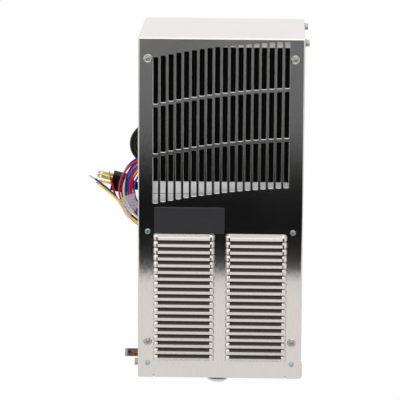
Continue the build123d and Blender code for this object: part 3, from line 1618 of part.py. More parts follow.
with BuildPart() as tape_band:
    sleeve_gap = tape_wall + touch_gap
    with BuildSketch(at_y(ring_start - sleeve_gap)):
        with Locations((ring_x, ring_z)):
            Circle(ring_outer + sleeve_gap)
            Circle(ring_inner - sleeve_gap, mode=Mode.SUBTRACT)
    extrude(amount=-(ring_thick + 2 * sleeve_gap))
    with BuildSketch(at_y(ring_start - touch_gap)):
        with Locations((ring_x, ring_z)):
            Circle(ring_outer + touch_gap)
            Circle(ring_inner - touch_gap, mode=Mode.SUBTRACT)
    extrude(amount=-(ring_thick + 2 * touch_gap), mode=Mode.SUBTRACT)
    sector_reach = 2 * ring_outer
    sector_ends = [
        (ring_x + sector_reach * cos(radians(angle)), ring_z + sector_reach * sin(radians(angle)))
        for angle in (tape_start, tape_end)
    ]
    with BuildSketch(at_y(ring_start - sleeve_gap)):
        with BuildLine():
            Polyline((ring_x, ring_z), *sector_ends, close=True)
        make_face()
    extrude(amount=-(ring_thick + 2 * sleeve_gap), mode=Mode.INTERSECT)
finish(tape_band.part, "tape_band")

with BuildPart() as wire_ends:
    for name, points in (("blue", blue_points), ("yellow", yellow_points), ("red", red_points)):
        add(cord_tube(name + " wire end", points, wire_radius))
finish(wire_ends.part, "wire_ends")
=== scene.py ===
import bpy
import numpy as np
from mathutils import Matrix, Vector


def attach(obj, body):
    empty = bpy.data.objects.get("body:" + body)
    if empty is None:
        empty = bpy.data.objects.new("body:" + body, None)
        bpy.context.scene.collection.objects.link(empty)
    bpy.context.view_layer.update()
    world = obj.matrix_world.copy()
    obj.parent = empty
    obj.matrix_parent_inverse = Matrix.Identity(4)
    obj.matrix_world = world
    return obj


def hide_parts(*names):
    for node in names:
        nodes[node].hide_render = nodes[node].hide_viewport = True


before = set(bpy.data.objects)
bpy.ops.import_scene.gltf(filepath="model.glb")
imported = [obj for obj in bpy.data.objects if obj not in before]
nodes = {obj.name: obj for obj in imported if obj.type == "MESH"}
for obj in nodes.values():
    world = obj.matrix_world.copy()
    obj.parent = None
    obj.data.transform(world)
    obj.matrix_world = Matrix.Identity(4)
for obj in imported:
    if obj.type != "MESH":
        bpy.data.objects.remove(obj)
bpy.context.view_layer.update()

mm = 0.001

# camera where the photograph was taken from, in the frame's metres
camera = {
    "place": (0.0771, -3.8868, 0.7690),
    "right": (0.99952, 0.03090, 0.00575),
    "up": (-0.01187, 0.20158, 0.97940),
    "forward": (-0.02911, 0.97899, -0.20184),
    "lens": 218.8,
    "sensor": 36.0,
    "clipEnd": 60,
}

studio = {
    "floorZ": -0.2789,                               # the drain cap's dome just reaches the floor
    "floorReach": 14.0,
    "floorColour": "#f2f0ee",
    "floorGlow": 0.97,                               # share of plain white in what camera and metal see
    "worldColour": "#ffffff",
    "worldLight": 0.7,                               # what falls on the object
    "worldMirror": 1.0,                              # what camera and metal see
    "flagNear": -0.975,                              # dark cloth from here outwards, seen only by reflections
    "flagFar": -7.0,
    "flagHalfWidth": 1.3,
    "flagLift": 0.002,
    "flagTint": "#f1f8ff",
    "flagDark": 0.009,
    "flagPale": 0.2,
    "flagRamp": (-1.75, -2.65),                      # the cloth goes from dark to pale between these
    "topLight": {"place": (0.2, -1.3, 2.3), "aim": (0, -0.15, 0), "size": (3.0, 2.0), "power": 19},
    "frontLight": {"place": (0, -6.5, 1.9), "aim": (0, 0, 0), "size": (5.0, 3.0), "power": 12},
    "sideLight": {"place": (-2.2, -1.0, 1.0), "aim": (0, -0.1, 0), "size": (1.4, 2.0), "power": 10},
    "rearLight": {"place": (0.6, 2.4, 1.7), "aim": (0, 0, 0), "size": (3.0, 1.6), "power": 16},
}


# sRGB hex to linear colour, with alpha 1
def hexLinear(text):
    share = np.array([int(text[i:i + 2], 16) for i in (1, 3, 5)]) / 255
    linear = np.where(share <= 0.04045, share / 12.92, ((share + 0.055) / 1.055) ** 2.4)
    return (*linear.tolist(), 1.0)


# pattern sizes in millimetres along x, y and z as scales for coordinates in metres
def patternScale(size):
    return [1 / (length * mm) for length in size]


# adds a node, sets its properties, and fills or links its inputs
def addNode(tree, kind, inputs=None, **settings):
    made = tree.nodes.new(kind)
    for name, value in settings.items():
        setattr(made, name, value)
    for key, value in (inputs or {}).items():
        if isinstance(value, bpy.types.NodeSocket):
            tree.links.new(value, made.inputs[key])
        else:
            made.inputs[key].default_value = value
    return made


# a new material with nothing in its node tree
def emptyMaterial(name):
    made = bpy.data.materials.new(name)
    made.use_nodes = True
    made.node_tree.nodes.clear()
    return made, made.node_tree


# streak and cloud are pattern sizes in millimetres, and places are in metres
steel = {
    "pale": "#d8d3ce", "dark": "#d2cdc8", "streak": (2.0, 2.0, 14.0), "streakDetail": 3.0,
    "cloud": (90.0, 90.0, 90.0), "cloudDetail": 2.0, "noiseSpan": (0.3, 0.7),
    "rough": (0.14, 0.17), "anisotropic": 0.95, "bump": 0.5, "bumpMm": 0.11, "across": (1.0, 0.01, 0.0),
    "cut": "#b2aeaa", "cutFacing": (0.45, 0.6),      # punched edges, by how far they look sideways
    "flatHalf": 0.105,                               # the slots lie between these two x, behind proudY
    "louvreShade": "#5c5148", "louvreShadeFacing": (0.3, 0.46),  # painted shade, the louvre above reflected dark, by how far the surface looks up
    "louvreMiddle": 0.0557, "louvreHalf": 0.0403,    # each column's middle and half width in x
    "firstShelf": -0.0472, "proudY": -0.2342,
}


# cold-rolled stainless sheet, brushed along its height, so that it smears reflections sideways; punched edges
# are duller, and the shelves of the louvres below the first one are painted dark brown and not metal: painted
# shade, the reflection of the louvre above
def brushedStainless():
    made, tree = emptyMaterial("brushedStainless")
    source = addNode(tree, "ShaderNodeTexCoord").outputs
    place = source["Object"]
    along = addNode(tree, "ShaderNodeMapping", {"Vector": place, "Scale": patternScale(steel["streak"])})
    streak = addNode(
        tree, "ShaderNodeTexNoise",
        {"Vector": along.outputs[0], "Scale": 1.0, "Detail": steel["streakDetail"]},
    )
    broad = addNode(tree, "ShaderNodeMapping", {"Vector": place, "Scale": patternScale(steel["cloud"])})
    cloud = addNode(
        tree, "ShaderNodeTexNoise",
        {"Vector": broad.outputs[0], "Scale": 1.0, "Detail": steel["cloudDetail"]},
    )
    weak, strong = steel["noiseSpan"]
    share = addNode(
        tree, "ShaderNodeMapRange", {0: streak.outputs[0], 1: weak, 2: strong, 3: 0.0, 4: 1.0}
    )
    brushed = addNode(
        tree, "ShaderNodeMix",
        {0: share.outputs[0], 6: hexLinear(steel["dark"]), 7: hexLinear(steel["pale"])}, data_type="RGBA",
    )
    axes = addNode(tree, "ShaderNodeSeparateXYZ", {0: place}).outputs
    facing = addNode(tree, "ShaderNodeSeparateXYZ", {0: source["Normal"]}).outputs
    sideways = addNode(tree, "ShaderNodeMath", {0: facing[0]}, operation="ABSOLUTE")
    low, high = steel["cutFacing"]
    turned = addNode(
        tree, "ShaderNodeMapRange", {0: sideways.outputs[0], 1: low, 2: high, 3: 0.0, 4: 1.0}
    )
    behind = addNode(tree, "ShaderNodeMath", {0: axes[1], 1: steel["proudY"]}, operation="GREATER_THAN")
    across = addNode(tree, "ShaderNodeMath", {0: axes[0]}, operation="ABSOLUTE")
    inward = addNode(
        tree, "ShaderNodeMath", {0: across.outputs[0], 1: steel["flatHalf"]}, operation="LESS_THAN"
    )
    flat = addNode(
        tree, "ShaderNodeMath", {0: behind.outputs[0], 1: inward.outputs[0]}, operation="MULTIPLY"
    )
    cut = addNode(tree, "ShaderNodeMath", {0: flat.outputs[0], 1: turned.outputs[0]}, operation="MULTIPLY")
    edged = addNode(
        tree, "ShaderNodeMix", {0: cut.outputs[0], 6: brushed.outputs[2], 7: hexLinear(steel["cut"])},
        data_type="RGBA",
    )
    low, high = steel["louvreShadeFacing"]
    upward = addNode(tree, "ShaderNodeMapRange", {0: facing[2], 1: low, 2: high, 3: 0.0, 4: 1.0})
    offset = addNode(
        tree, "ShaderNodeMath", {0: across.outputs[0], 1: steel["louvreMiddle"], 2: steel["louvreHalf"]},
        operation="COMPARE",
    )
    proud = addNode(tree, "ShaderNodeMath", {0: axes[1], 1: steel["proudY"]}, operation="LESS_THAN")
    lower = addNode(tree, "ShaderNodeMath", {0: axes[2], 1: steel["firstShelf"]}, operation="LESS_THAN")
    shelf = addNode(
        tree, "ShaderNodeMath", {0: offset.outputs[0], 1: proud.outputs[0]}, operation="MULTIPLY"
    )
    sheltered = addNode(
        tree, "ShaderNodeMath", {0: shelf.outputs[0], 1: lower.outputs[0]}, operation="MULTIPLY"
    )
    # painted shade: upward-looking shelves below the first louvre take the dark brown of the louvre above's
    # reflection
    paintedLouvreShade = addNode(
        tree, "ShaderNodeMath", {0: sheltered.outputs[0], 1: upward.outputs[0]}, operation="MULTIPLY"
    )
    colour = addNode(
        tree, "ShaderNodeMix", {0: paintedLouvreShade.outputs[0], 6: edged.outputs[2], 7: hexLinear(steel["louvreShade"])},
        data_type="RGBA",
    )
    metal = addNode(tree, "ShaderNodeMath", {0: 1.0, 1: paintedLouvreShade.outputs[0]}, operation="SUBTRACT")
    low, high = steel["rough"]
    gloss = addNode(
        tree, "ShaderNodeMapRange", {0: cloud.outputs[0], 1: weak, 2: strong, 3: low, 4: high}
    )
    relief = addNode(
        tree, "ShaderNodeBump",
        {"Height": streak.outputs[0], "Strength": steel["bump"], "Distance": steel["bumpMm"] * mm},
    )
    # the tangent lies along x, and along y where a face looks along x, so the grain runs up the sheet
    tangent = addNode(tree, "ShaderNodeCombineXYZ", dict(enumerate(steel["across"])))
    shader = addNode(tree, "ShaderNodeBsdfPrincipled", {
        "Base Color": colour.outputs[2], "Metallic": metal.outputs[0], "Roughness": gloss.outputs[0],
        "Anisotropic": steel["anisotropic"], "Normal": relief.outputs[0], "Tangent": tangent.outputs[0],
    })
    addNode(tree, "ShaderNodeOutputMaterial", {"Surface": shader.outputs[0]})
    return made


zinc = {
    "pale": "#f6f7fa", "dark": "#e8eaee", "spangle": (7, 7, 7), "speckle": (1.5, 1.5, 1.5),
    "speckleDetail": 3.0, "noiseSpan": (0.3, 1.6), "metallic": 0.1, "rough": (0.36, 0.52), "bump": 0.08,
    "bumpMm": 0.05,
}


# hot-dip galvanised sheet: dull zinc with faint crystal spangle about 7 mm across
def galvanisedSheet():
    made, tree = emptyMaterial("galvanisedSheet")
    place = addNode(tree, "ShaderNodeTexCoord").outputs["Object"]
    coarse = addNode(tree, "ShaderNodeMapping", {"Vector": place, "Scale": patternScale(zinc["spangle"])})
    cell = addNode(tree, "ShaderNodeTexVoronoi", {"Vector": coarse.outputs[0], "Scale": 1.0})
    grey = addNode(tree, "ShaderNodeSeparateColor", {"Color": cell.outputs["Color"]})
    close = addNode(tree, "ShaderNodeMapping", {"Vector": place, "Scale": patternScale(zinc["speckle"])})
    fine = addNode(
        tree, "ShaderNodeTexNoise",
        {"Vector": close.outputs[0], "Scale": 1.0, "Detail": zinc["speckleDetail"]},
    )
    both = addNode(tree, "ShaderNodeMath", {0: grey.outputs[0], 1: fine.outputs[0]}, operation="ADD")
    weak, strong = zinc["noiseSpan"]
    share = addNode(
        tree, "ShaderNodeMapRange", {0: both.outputs[0], 1: weak, 2: strong, 3: 0.0, 4: 1.0}
    )
    colour = addNode(
        tree, "ShaderNodeMix",
        {0: share.outputs[0], 6: hexLinear(zinc["dark"]), 7: hexLinear(zinc["pale"])}, data_type="RGBA",
    )
    low, high = zinc["rough"]
    gloss = addNode(tree, "ShaderNodeMapRange", {0: share.outputs[0], 1: 0.0, 2: 1.0, 3: low, 4: high})
    relief = addNode(
        tree, "ShaderNodeBump",
        {"Height": fine.outputs[0], "Strength": zinc["bump"], "Distance": zinc["bumpMm"] * mm},
    )
    shader = addNode(tree, "ShaderNodeBsdfPrincipled", {
        "Base Color": colour.outputs[2], "Metallic": zinc["metallic"], "Roughness": gloss.outputs[0],
        "Normal": relief.outputs[0],
    })
    addNode(tree, "ShaderNodeOutputMaterial", {"Surface": shader.outputs[0]})
    return made


mottle = {"detail": 3.0, "fallOff": 0.6, "colourSpan": (0.35, 0.65), "glossSpan": (0.3, 0.7)}


# a finish of two close colours in a mottled pattern of a real size, with its gloss range and its relief
def mottled(name, colours, size, rough, relief, **sockets):
    made, tree = emptyMaterial(name)
    place = addNode(tree, "ShaderNodeTexCoord").outputs["Object"]
    sized = addNode(tree, "ShaderNodeMapping", {"Vector": place, "Scale": patternScale(size)})
    pattern = addNode(tree, "ShaderNodeTexNoise", {
        "Vector": sized.outputs[0], "Scale": 1.0, "Detail": mottle["detail"], "Roughness": mottle["fallOff"],
    })
    weak, strong = mottle["colourSpan"]
    share = addNode(
        tree, "ShaderNodeMapRange", {0: pattern.outputs[0], 1: weak, 2: strong, 3: 0.0, 4: 1.0}
    )
    first, second = colours
    colour = addNode(
        tree, "ShaderNodeMix", {0: share.outputs[0], 6: hexLinear(first), 7: hexLinear(second)},
        data_type="RGBA",
    )
    weak, strong = mottle["glossSpan"]
    gloss = addNode(
        tree, "ShaderNodeMapRange",
        {0: pattern.outputs[0], 1: weak, 2: strong, 3: rough[0], 4: rough[1]},
    )
    bump = addNode(
        tree, "ShaderNodeBump",
        {"Height": pattern.outputs[0], "Strength": relief[0], "Distance": relief[1] * mm},
    )
    shader = addNode(tree, "ShaderNodeBsdfPrincipled", {
        "Base Color": colour.outputs[2], "Roughness": gloss.outputs[0], "Normal": bump.outputs[0],
        **{key.replace("_", " "): value for key, value in sockets.items()},
    })
    addNode(tree, "ShaderNodeOutputMaterial", {"Surface": shader.outputs[0]})
    return made


# for each finish: colours, pattern size in mm, gloss range, relief as strength and mm, and other sockets
finishes = {
    # screen-painted aluminium plate left bare: satin charcoal with a faint roll direction
    "satinCharcoal": dict(
        colours=("#1b1b1e", "#212125"), size=(30, 2, 0.8), rough=(0.36, 0.48), relief=(0.05, 0.05)),
    # nickel-plated steel, drawn and tumbled: clean and bright
    "nickelPlate": dict(
        colours=("#c6c2be", "#b7b3af"), size=(1.5, 1.5, 1.5), rough=(0.1, 0.16), relief=(0.04, 0.04),
        Metallic=1.0),
    # plain steel screw head, a little dulled
    "screwSteel": dict(
        colours=("#a19e9b", "#918e8b"), size=(1.5, 1.5, 1.5), rough=(0.3, 0.38), relief=(0.05, 0.04),
        Metallic=1.0),
    # satin chrome on the drain cap's dome
    "satinChrome": dict(
        colours=("#f4f2f0", "#eceae8"), size=(4, 4, 4), rough=(0.55, 0.65), relief=(0.02, 0.03),
        Metallic=1.0),
    # zinc plate with a blue passivate: cool and slightly cloudy
    "blueZinc": dict(
        colours=("#b6c0c2", "#a2acaf"), size=(2, 2, 2), rough=(0.2, 0.3), relief=(0.05, 0.05),
        Metallic=1.0),
    # mill-finish aluminium foil fins: streaked across the fold
    "foilFin": dict(
        colours=("#c4c6c8", "#aeb1b4"), size=(1.2, 30, 30), rough=(0.3, 0.45), relief=(0.06, 0.1),
        Metallic=1.0),
    # coated coil fins: matt black epoxy, a little paler where dust lies
    "coatedFin": dict(
        colours=("#060607", "#111112"), size=(1.6, 20, 60), rough=(0.6, 0.8), relief=(0.15, 0.1),
        Specular_IOR_Level=0.08),
    # drawn copper tube: warm, with darker handling stains
    "drawnCopper": dict(
        colours=("#c27a52", "#9c5b3c"), size=(9, 9, 9), rough=(0.24, 0.42), relief=(0.04, 0.05),
        Metallic=1.0),
    # black stoved enamel on the compressor and motor: even, soft gloss with orange peel
    "stovedEnamel": dict(
        colours=("#0c0c0d", "#131314"), size=(2.5, 2.5, 2.5), rough=(0.22, 0.32), relief=(0.12, 0.06)),
    # moulded nylon: fine spark texture
    "mouldedNylon": dict(
        colours=("#151516", "#1c1c1d"), size=(0.9, 0.9, 0.9), rough=(0.42, 0.55), relief=(0.15, 0.05)),
    # extruded rubber hose and grommets: matt with a chalky bloom
    "blackRubber": dict(
        colours=("#141414", "#202020"), size=(4, 4, 4), rough=(0.62, 0.8), relief=(0.1, 0.06),
        Specular_IOR_Level=0.3),
    # moulded PVC plug: smoother than rubber, soft highlights
    "plugVinyl": dict(
        colours=("#070606", "#0e0c0c"), size=(1.2, 1.2, 1.2), rough=(0.4, 0.5), relief=(0.1, 0.04),
        Specular_IOR_Level=0.07),
    # drawn brass contact blades
    "bladeBrass": dict(
        colours=("#e0cf8c", "#cdb973"), size=(6, 0.5, 6), rough=(0.24, 0.36), relief=(0.04, 0.03),
        Metallic=1.0),
    # closed-cell foam: open pores on the cut face
    "cellFoam": dict(
        colours=("#18181a", "#2a2a2c"), size=(1.4, 1.4, 1.4), rough=(0.8, 0.95), relief=(0.5, 0.3)),
    # natural nylon moulding: warm off-white
    "naturalNylon": dict(
        colours=("#dcd8d2", "#cdc8c1"), size=(3, 3, 3), rough=(0.35, 0.5), relief=(0.06, 0.05)),
    # deep-drawn aluminium can
    "drawnCan": dict(
        colours=("#b9babb", "#a3a4a6"), size=(1.2, 1.2, 40), rough=(0.28, 0.4), relief=(0.05, 0.05),
        Metallic=1.0),
    # smooth extruded cord jacket
    "cordJacket": dict(
        colours=("#0a0a0b", "#131315"), size=(7, 7, 7), rough=(0.3, 0.42), relief=(0.06, 0.04),
        Specular_IOR_Level=0.22),
    # PVC-insulated hook-up wire: even gloss with slight drag lines
    "redVinyl": dict(
        colours=("#d6202f", "#c41a28"), size=(5, 5, 5), rough=(0.34, 0.44), relief=(0.05, 0.03),
        Specular_IOR_Level=0.3),
    "blueVinyl": dict(
        colours=("#2438b2", "#1f30a0"), size=(5, 5, 5), rough=(0.34, 0.44), relief=(0.05, 0.03),
        Specular_IOR_Level=0.3),
    "yellowVinyl": dict(
        colours=("#fbdc46", "#f2cf3a"), size=(5, 5, 5), rough=(0.34, 0.44), relief=(0.05, 0.03),
        Specular_IOR_Level=0.3),
    # bare tinned strands at the wires' ends
    "bareStrand": dict(
        colours=("#b4b6b8", "#8e9092"), size=(0.8, 0.8, 0.8), rough=(0.2, 0.34), relief=(0.05, 0.03),
        Metallic=1.0),
}
materials = {name: mottled(name, **finish) for name, finish in finishes.items()}
materials["brushedStainless"] = brushedStainless()
materials["galvanisedSheet"] = galvanisedSheet()

# the outlet's stub outside the case: a dark round stain and a pale end, with places in metres
stub = {
    "spot": (-0.1430, -0.2405), "spotR": 0.0032, "stainShare": 0.9,
    "paleFrom": -0.1468, "paleTo": -0.1492, "ragged": 0.004,
    "warm": "#8c6350", "brown": "#4a3328", "verdigris": "#939b99", "stain": "#1a1410",
    "blot": (3, 3, 3), "detail": 4.0, "fallOff": 0.6, "colourSpan": (0.35, 0.65), "glossSpan": (0.3, 0.7),
    "metallic": 0.75, "rough": (0.3, 0.55), "bump": 0.15, "bumpMm": 0.08,
}


# copper weathered brown near the wall, with a dark spot and a verdigris end
def weatheredCopper():
    made, tree = emptyMaterial("weatheredCopper")
    place = addNode(tree, "ShaderNodeTexCoord").outputs["Object"]
    axes = addNode(tree, "ShaderNodeSeparateXYZ", {0: place}).outputs
    sized = addNode(tree, "ShaderNodeMapping", {"Vector": place, "Scale": patternScale(stub["blot"])})
    blot = addNode(tree, "ShaderNodeTexNoise", {
        "Vector": sized.outputs[0], "Scale": 1.0, "Detail": stub["detail"], "Roughness": stub["fallOff"],
    }).outputs[0]
    weak, strong = stub["colourSpan"]
    share = addNode(tree, "ShaderNodeMapRange", {0: blot, 1: weak, 2: strong, 3: 0.0, 4: 1.0})
    base = addNode(
        tree, "ShaderNodeMix", {0: share.outputs[0], 6: hexLinear(stub["warm"]), 7: hexLinear(stub["brown"])},
        data_type="RGBA",
    )
    shift = addNode(tree, "ShaderNodeMath", {0: blot, 1: stub["ragged"]}, operation="MULTIPLY")
    reach = addNode(tree, "ShaderNodeMath", {0: axes[0], 1: shift.outputs[0]}, operation="SUBTRACT")
    pale = addNode(
        tree, "ShaderNodeMapRange",
        {0: reach.outputs[0], 1: stub["paleFrom"], 2: stub["paleTo"], 3: 0.0, 4: 1.0},
    )
    ended = addNode(
        tree, "ShaderNodeMix", {0: pale.outputs[0], 6: base.outputs[2], 7: hexLinear(stub["verdigris"])},
        data_type="RGBA",
    )
    spotX, spotZ = stub["spot"]
    centred = addNode(tree, "ShaderNodeCombineXYZ", {
        0: addNode(tree, "ShaderNodeMath", {0: axes[0], 1: spotX}, operation="SUBTRACT").outputs[0],
        2: addNode(tree, "ShaderNodeMath", {0: axes[2], 1: spotZ}, operation="SUBTRACT").outputs[0],
    })
    away = addNode(tree, "ShaderNodeVectorMath", {0: centred.outputs[0]}, operation="LENGTH")
    spot = addNode(
        tree, "ShaderNodeMapRange",
        {0: away.outputs["Value"], 1: stub["spotR"], 2: stub["spotR"] / 2, 3: 0.0, 4: stub["stainShare"]},
    )
    colour = addNode(
        tree, "ShaderNodeMix", {0: spot.outputs[0], 6: ended.outputs[2], 7: hexLinear(stub["stain"])},
        data_type="RGBA",
    )
    weak, strong = stub["glossSpan"]
    low, high = stub["rough"]
    gloss = addNode(tree, "ShaderNodeMapRange", {0: blot, 1: weak, 2: strong, 3: low, 4: high})
    bump = addNode(
        tree, "ShaderNodeBump", {"Height": blot, "Strength": stub["bump"], "Distance": stub["bumpMm"] * mm}
    )
    shader = addNode(tree, "ShaderNodeBsdfPrincipled", {
        "Base Color": colour.outputs[2], "Metallic": stub["metallic"], "Roughness": gloss.outputs[0],
        "Normal": bump.outputs[0],
    })
    addNode(tree, "ShaderNodeOutputMaterial", {"Surface": shader.outputs[0]})
    return made


# the drain cap's washer: a grey band at the case, painted shade under the case's bottom edge, and a bright
# rolled rim below the edge (in metres)
seal = {
    "edge": -0.2709, "rubber": "#6f6762", "rim": "#d6d2d2", "rubberRough": 0.55, "rimRough": 0.4,
    "grain": (4, 4, 4), "detail": 3.0, "bump": 0.1, "bumpMm": 0.04,
}


# painted shade and rim in one piece: what lies above the edge is painted grey and not metal as shade, and
# what lies below it takes the rim's colour, metal and gloss
def sealWithPaintedShade():
    made, tree = emptyMaterial("sealWithPaintedShade")
    place = addNode(tree, "ShaderNodeTexCoord").outputs["Object"]
    height = addNode(tree, "ShaderNodeSeparateXYZ", {0: place}).outputs[2]
    below = addNode(tree, "ShaderNodeMath", {0: height, 1: seal["edge"]}, operation="LESS_THAN")
    metal = below.outputs[0]
    colour = addNode(
        tree, "ShaderNodeMix", {0: metal, 6: hexLinear(seal["rubber"]), 7: hexLinear(seal["rim"])},
        data_type="RGBA",
    )
    gloss = addNode(
        tree, "ShaderNodeMapRange", {0: metal, 1: 0.0, 2: 1.0, 3: seal["rubberRough"], 4: seal["rimRough"]}
    )
    sized = addNode(tree, "ShaderNodeMapping", {"Vector": place, "Scale": patternScale(seal["grain"])})
    speck = addNode(
        tree, "ShaderNodeTexNoise", {"Vector": sized.outputs[0], "Scale": 1.0, "Detail": seal["detail"]}
    )
    bump = addNode(
        tree, "ShaderNodeBump",
        {"Height": speck.outputs[0], "Strength": seal["bump"], "Distance": seal["bumpMm"] * mm},
    )
    shader = addNode(tree, "ShaderNodeBsdfPrincipled", {
        "Base Color": colour.outputs[2], "Metallic": metal, "Roughness": gloss.outputs[0],
        "Normal": bump.outputs[0],
    })
    addNode(tree, "ShaderNodeOutputMaterial", {"Surface": shader.outputs[0]})
    return made


film = {
    "weave": (1.7, 1.7, 1.7), "detail": 4.0, "fallOff": 0.65, "pale": "#f6eef2", "cool": "#e2e4f2",
    "coverSpan": (0.4, 0.6), "clearest": 0.1, "whitest": 0.5, "glossSpan": (0.3, 0.7), "rough": (0.18, 0.45),
    "bump": 0.5, "bumpMm": 0.4, "ior": 1.47,
}


# clear adhesive film, frosted where it wrinkles, so the wires tint it
def clearTape():
    made, tree = emptyMaterial("clearTape")
    place = addNode(tree, "ShaderNodeTexCoord").outputs["Object"]
    sized = addNode(tree, "ShaderNodeMapping", {"Vector": place, "Scale": patternScale(film["weave"])})
    crease = addNode(tree, "ShaderNodeTexNoise", {
        "Vector": sized.outputs[0], "Scale": 1.0, "Detail": film["detail"], "Roughness": film["fallOff"],
    }).outputs[0]
    colour = addNode(
        tree, "ShaderNodeMix", {0: crease, 6: hexLinear(film["pale"]), 7: hexLinear(film["cool"])},
        data_type="RGBA",
    )
    weak, strong = film["glossSpan"]
    low, high = film["rough"]
    gloss = addNode(tree, "ShaderNodeMapRange", {0: crease, 1: weak, 2: strong, 3: low, 4: high})
    weak, strong = film["coverSpan"]
    cover = addNode(
        tree, "ShaderNodeMapRange", {0: crease, 1: weak, 2: strong, 3: film["clearest"], 4: film["whitest"]}
    )
    bump = addNode(
        tree, "ShaderNodeBump", {"Height": crease, "Strength": film["bump"], "Distance": film["bumpMm"] * mm}
    )
    shader = addNode(tree, "ShaderNodeBsdfPrincipled", {
        "Base Color": colour.outputs[2], "Roughness": gloss.outputs[0], "Alpha": cover.outputs[0],
        "Normal": bump.outputs[0], "IOR": film["ior"],
    })
    addNode(tree, "ShaderNodeOutputMaterial", {"Surface": shader.outputs[0]})
    return made


materials["weatheredCopper"] = weatheredCopper()
materials["sealWithPaintedShade"] = sealWithPaintedShade()
materials["clearTape"] = clearTape()

# the finish of each solid that is shown as it is, and of those that the cords and the tape stand for
nodeFinish = {
    "brushedStainless": ["front_cover", "side_tab"],
    "satinCharcoal": ["badge_plate"],
    "nickelPlate": ["cup_washers", "condenser_shaft"],
    "screwSteel": ["cover_screws", "side_bolts"],
    "blueZinc": ["panel_screws", "compressor_studs"],
    "galvanisedSheet": [
        "rear_panel", "side_frames", "base_tray", "partition", "coil_channels", "air_baffle", "fan_shroud",
        "motor_bracket", "condenser_end_plates", "evaporator_end_plates", "blower_plate", "control_box",
        "control_lid",
    ],
    "foilFin": ["evaporator_fins"],
    "coatedFin": ["condenser_fins"],
    "weatheredCopper": ["drain_tube"],
    "drawnCopper": [
        "condenser_tubes", "evaporator_tubes", "discharge_line", "suction_line", "liquid_line",
        "filter_drier", "capillary_tube",
    ],
    "stovedEnamel": ["compressor_shell", "condenser_motor"],
    "mouldedNylon": [
        "compressor_cover", "condenser_impeller", "blower_wheel", "blower_motor", "drain_pan", "cord_gland",
        "wire_bushing", "cord_ties", "thermostat_dial",
    ],
    "blackRubber": ["grommets", "drain_hose"],
    "plugVinyl": ["plug_body"],
    "bladeBrass": ["plug_prongs"],
    "cellFoam": ["foam_liner", "mounting_gasket"],
    "satinChrome": ["drain_cap"],
    # the washer's upper grey band is painted shade under the case's edge
    "sealWithPaintedShade": ["drain_washer"],
    "naturalNylon": ["thermostat_body"],
    "drawnCan": ["run_capacitor", "blower_rotor"],
    "cordJacket": ["power_cord_lead", "cord_hank", "power_cord_tail"],
    "redVinyl": ["wire_coil", "wire_ends"],
    "clearTape": ["tape_band"],
}
for finishName, owners in nodeFinish.items():
    for owner in owners:
        nodes[owner].data.materials.clear()
        nodes[owner].data.materials.append(materials[finishName])
missing = sorted(set(nodes) - {owner for owners in nodeFinish.values() for owner in owners})
print("stage: materials", len(materials), "nodes without one", missing)


cameraData = bpy.data.cameras.new("photoCamera")
cameraData.lens = camera["lens"]
cameraData.sensor_width = camera["sensor"]
cameraData.clip_end = camera["clipEnd"]
cameraObject = bpy.data.objects.new("photoCamera", cameraData)
bpy.context.scene.collection.objects.link(cameraObject)
turn = np.array([camera["right"], camera["up"], [-value for value in camera["forward"]]]).T
cameraObject.matrix_world = Matrix.Translation(camera["place"]) @ Matrix(turn.tolist()).to_4x4()
bpy.context.scene.camera = cameraObject
bpy.context.scene.view_settings.view_transform = "Standard"


# links an object with its material and lets it ride on the fixed case
def addObject(name, data, materialName):
    made = bpy.data.objects.new(name, data)
    bpy.context.scene.collection.objects.link(made)
    data.materials.append(materials[materialName])
    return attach(made, "case")


cordFaces = {"round": 4, "perPoint": 8}              # how finely a cord's section and its line are divided


# a cord or wire: a quadratic NURBS line over its route's control points, with a round section
def cordCurve(name, pointsMm, radiusMm, materialName):
    data = bpy.data.curves.new(name, "CURVE")
    data.dimensions = "3D"
    data.bevel_depth = radiusMm * mm
    data.bevel_resolution = cordFaces["round"]
    data.resolution_u = cordFaces["perPoint"]
    data.use_fill_caps = True
    line = data.splines.new("NURBS")
    line.points.add(len(pointsMm) - 1)
    points = np.c_[np.array(pointsMm) * mm, np.ones(len(pointsMm))]
    line.points.foreach_set("co", points.ravel())
    line.order_u = 3
    line.use_endpoint_u = True
    return addObject(name, data, materialName)


# length of a cord in metres, summed along its own line without the round section
def lineLength(cordObject):
    data = cordObject.data.copy()
    data.bevel_depth = 0
    probe = bpy.data.objects.new("probe", data)
    bpy.context.scene.collection.objects.link(probe)
    mesh = bpy.data.meshes.new_from_object(probe)
    points = np.array([vertex.co for vertex in mesh.vertices])
    bpy.data.objects.remove(probe)
    return float(np.linalg.norm(np.diff(points, axis=0), axis=1).sum())


# sizes in millimetres and angles in degrees, with the hank lying flat behind the case
powerCord = {
    "radius": 4.2,
    "lead": [(40.0, 14.0, 2.0), (6.0, 14.0, 2.0), (-22.0, 16.5, 11.0), (-48.0, 20.2, 25.2)],
    "tail": [
        (34.0, 45.4, 25.6), (2.0, 45.2, 22.6), (-30.0, 43.0, 10.0), (-62.0, 37.0, -12.0),
        (-96.0, 30.0, -26.5), (-131.3, 30.0, -18.7),
    ],
    "middle": (-35.8, 56.0),
    "halfRun": 84.0,
    "topRun": (-30, 30),                             # points on the straight runs, from the middle
    "bottomRun": (40, -20),
    "leftSlack": (0.0, 4.5, 2.0, 6.0),               # each turn's left bend stops short by this
    "bend": 30.5,
    "bendAngles": (-82.0, -50.0, -17.0, 17.0, 50.0, 82.0),
    "swell": 1.045,                                  # control points lie outside the rounded line by this
    "firstLayer": 20.2,
    "layer": 8.4,
    "stepPower": 4,                                  # the turn steps to the next layer near its end
    "turns": 4,
    "loose": (0.0, 1.0, -1.2, 0.4),                  # each turn's bends are wider by this
}


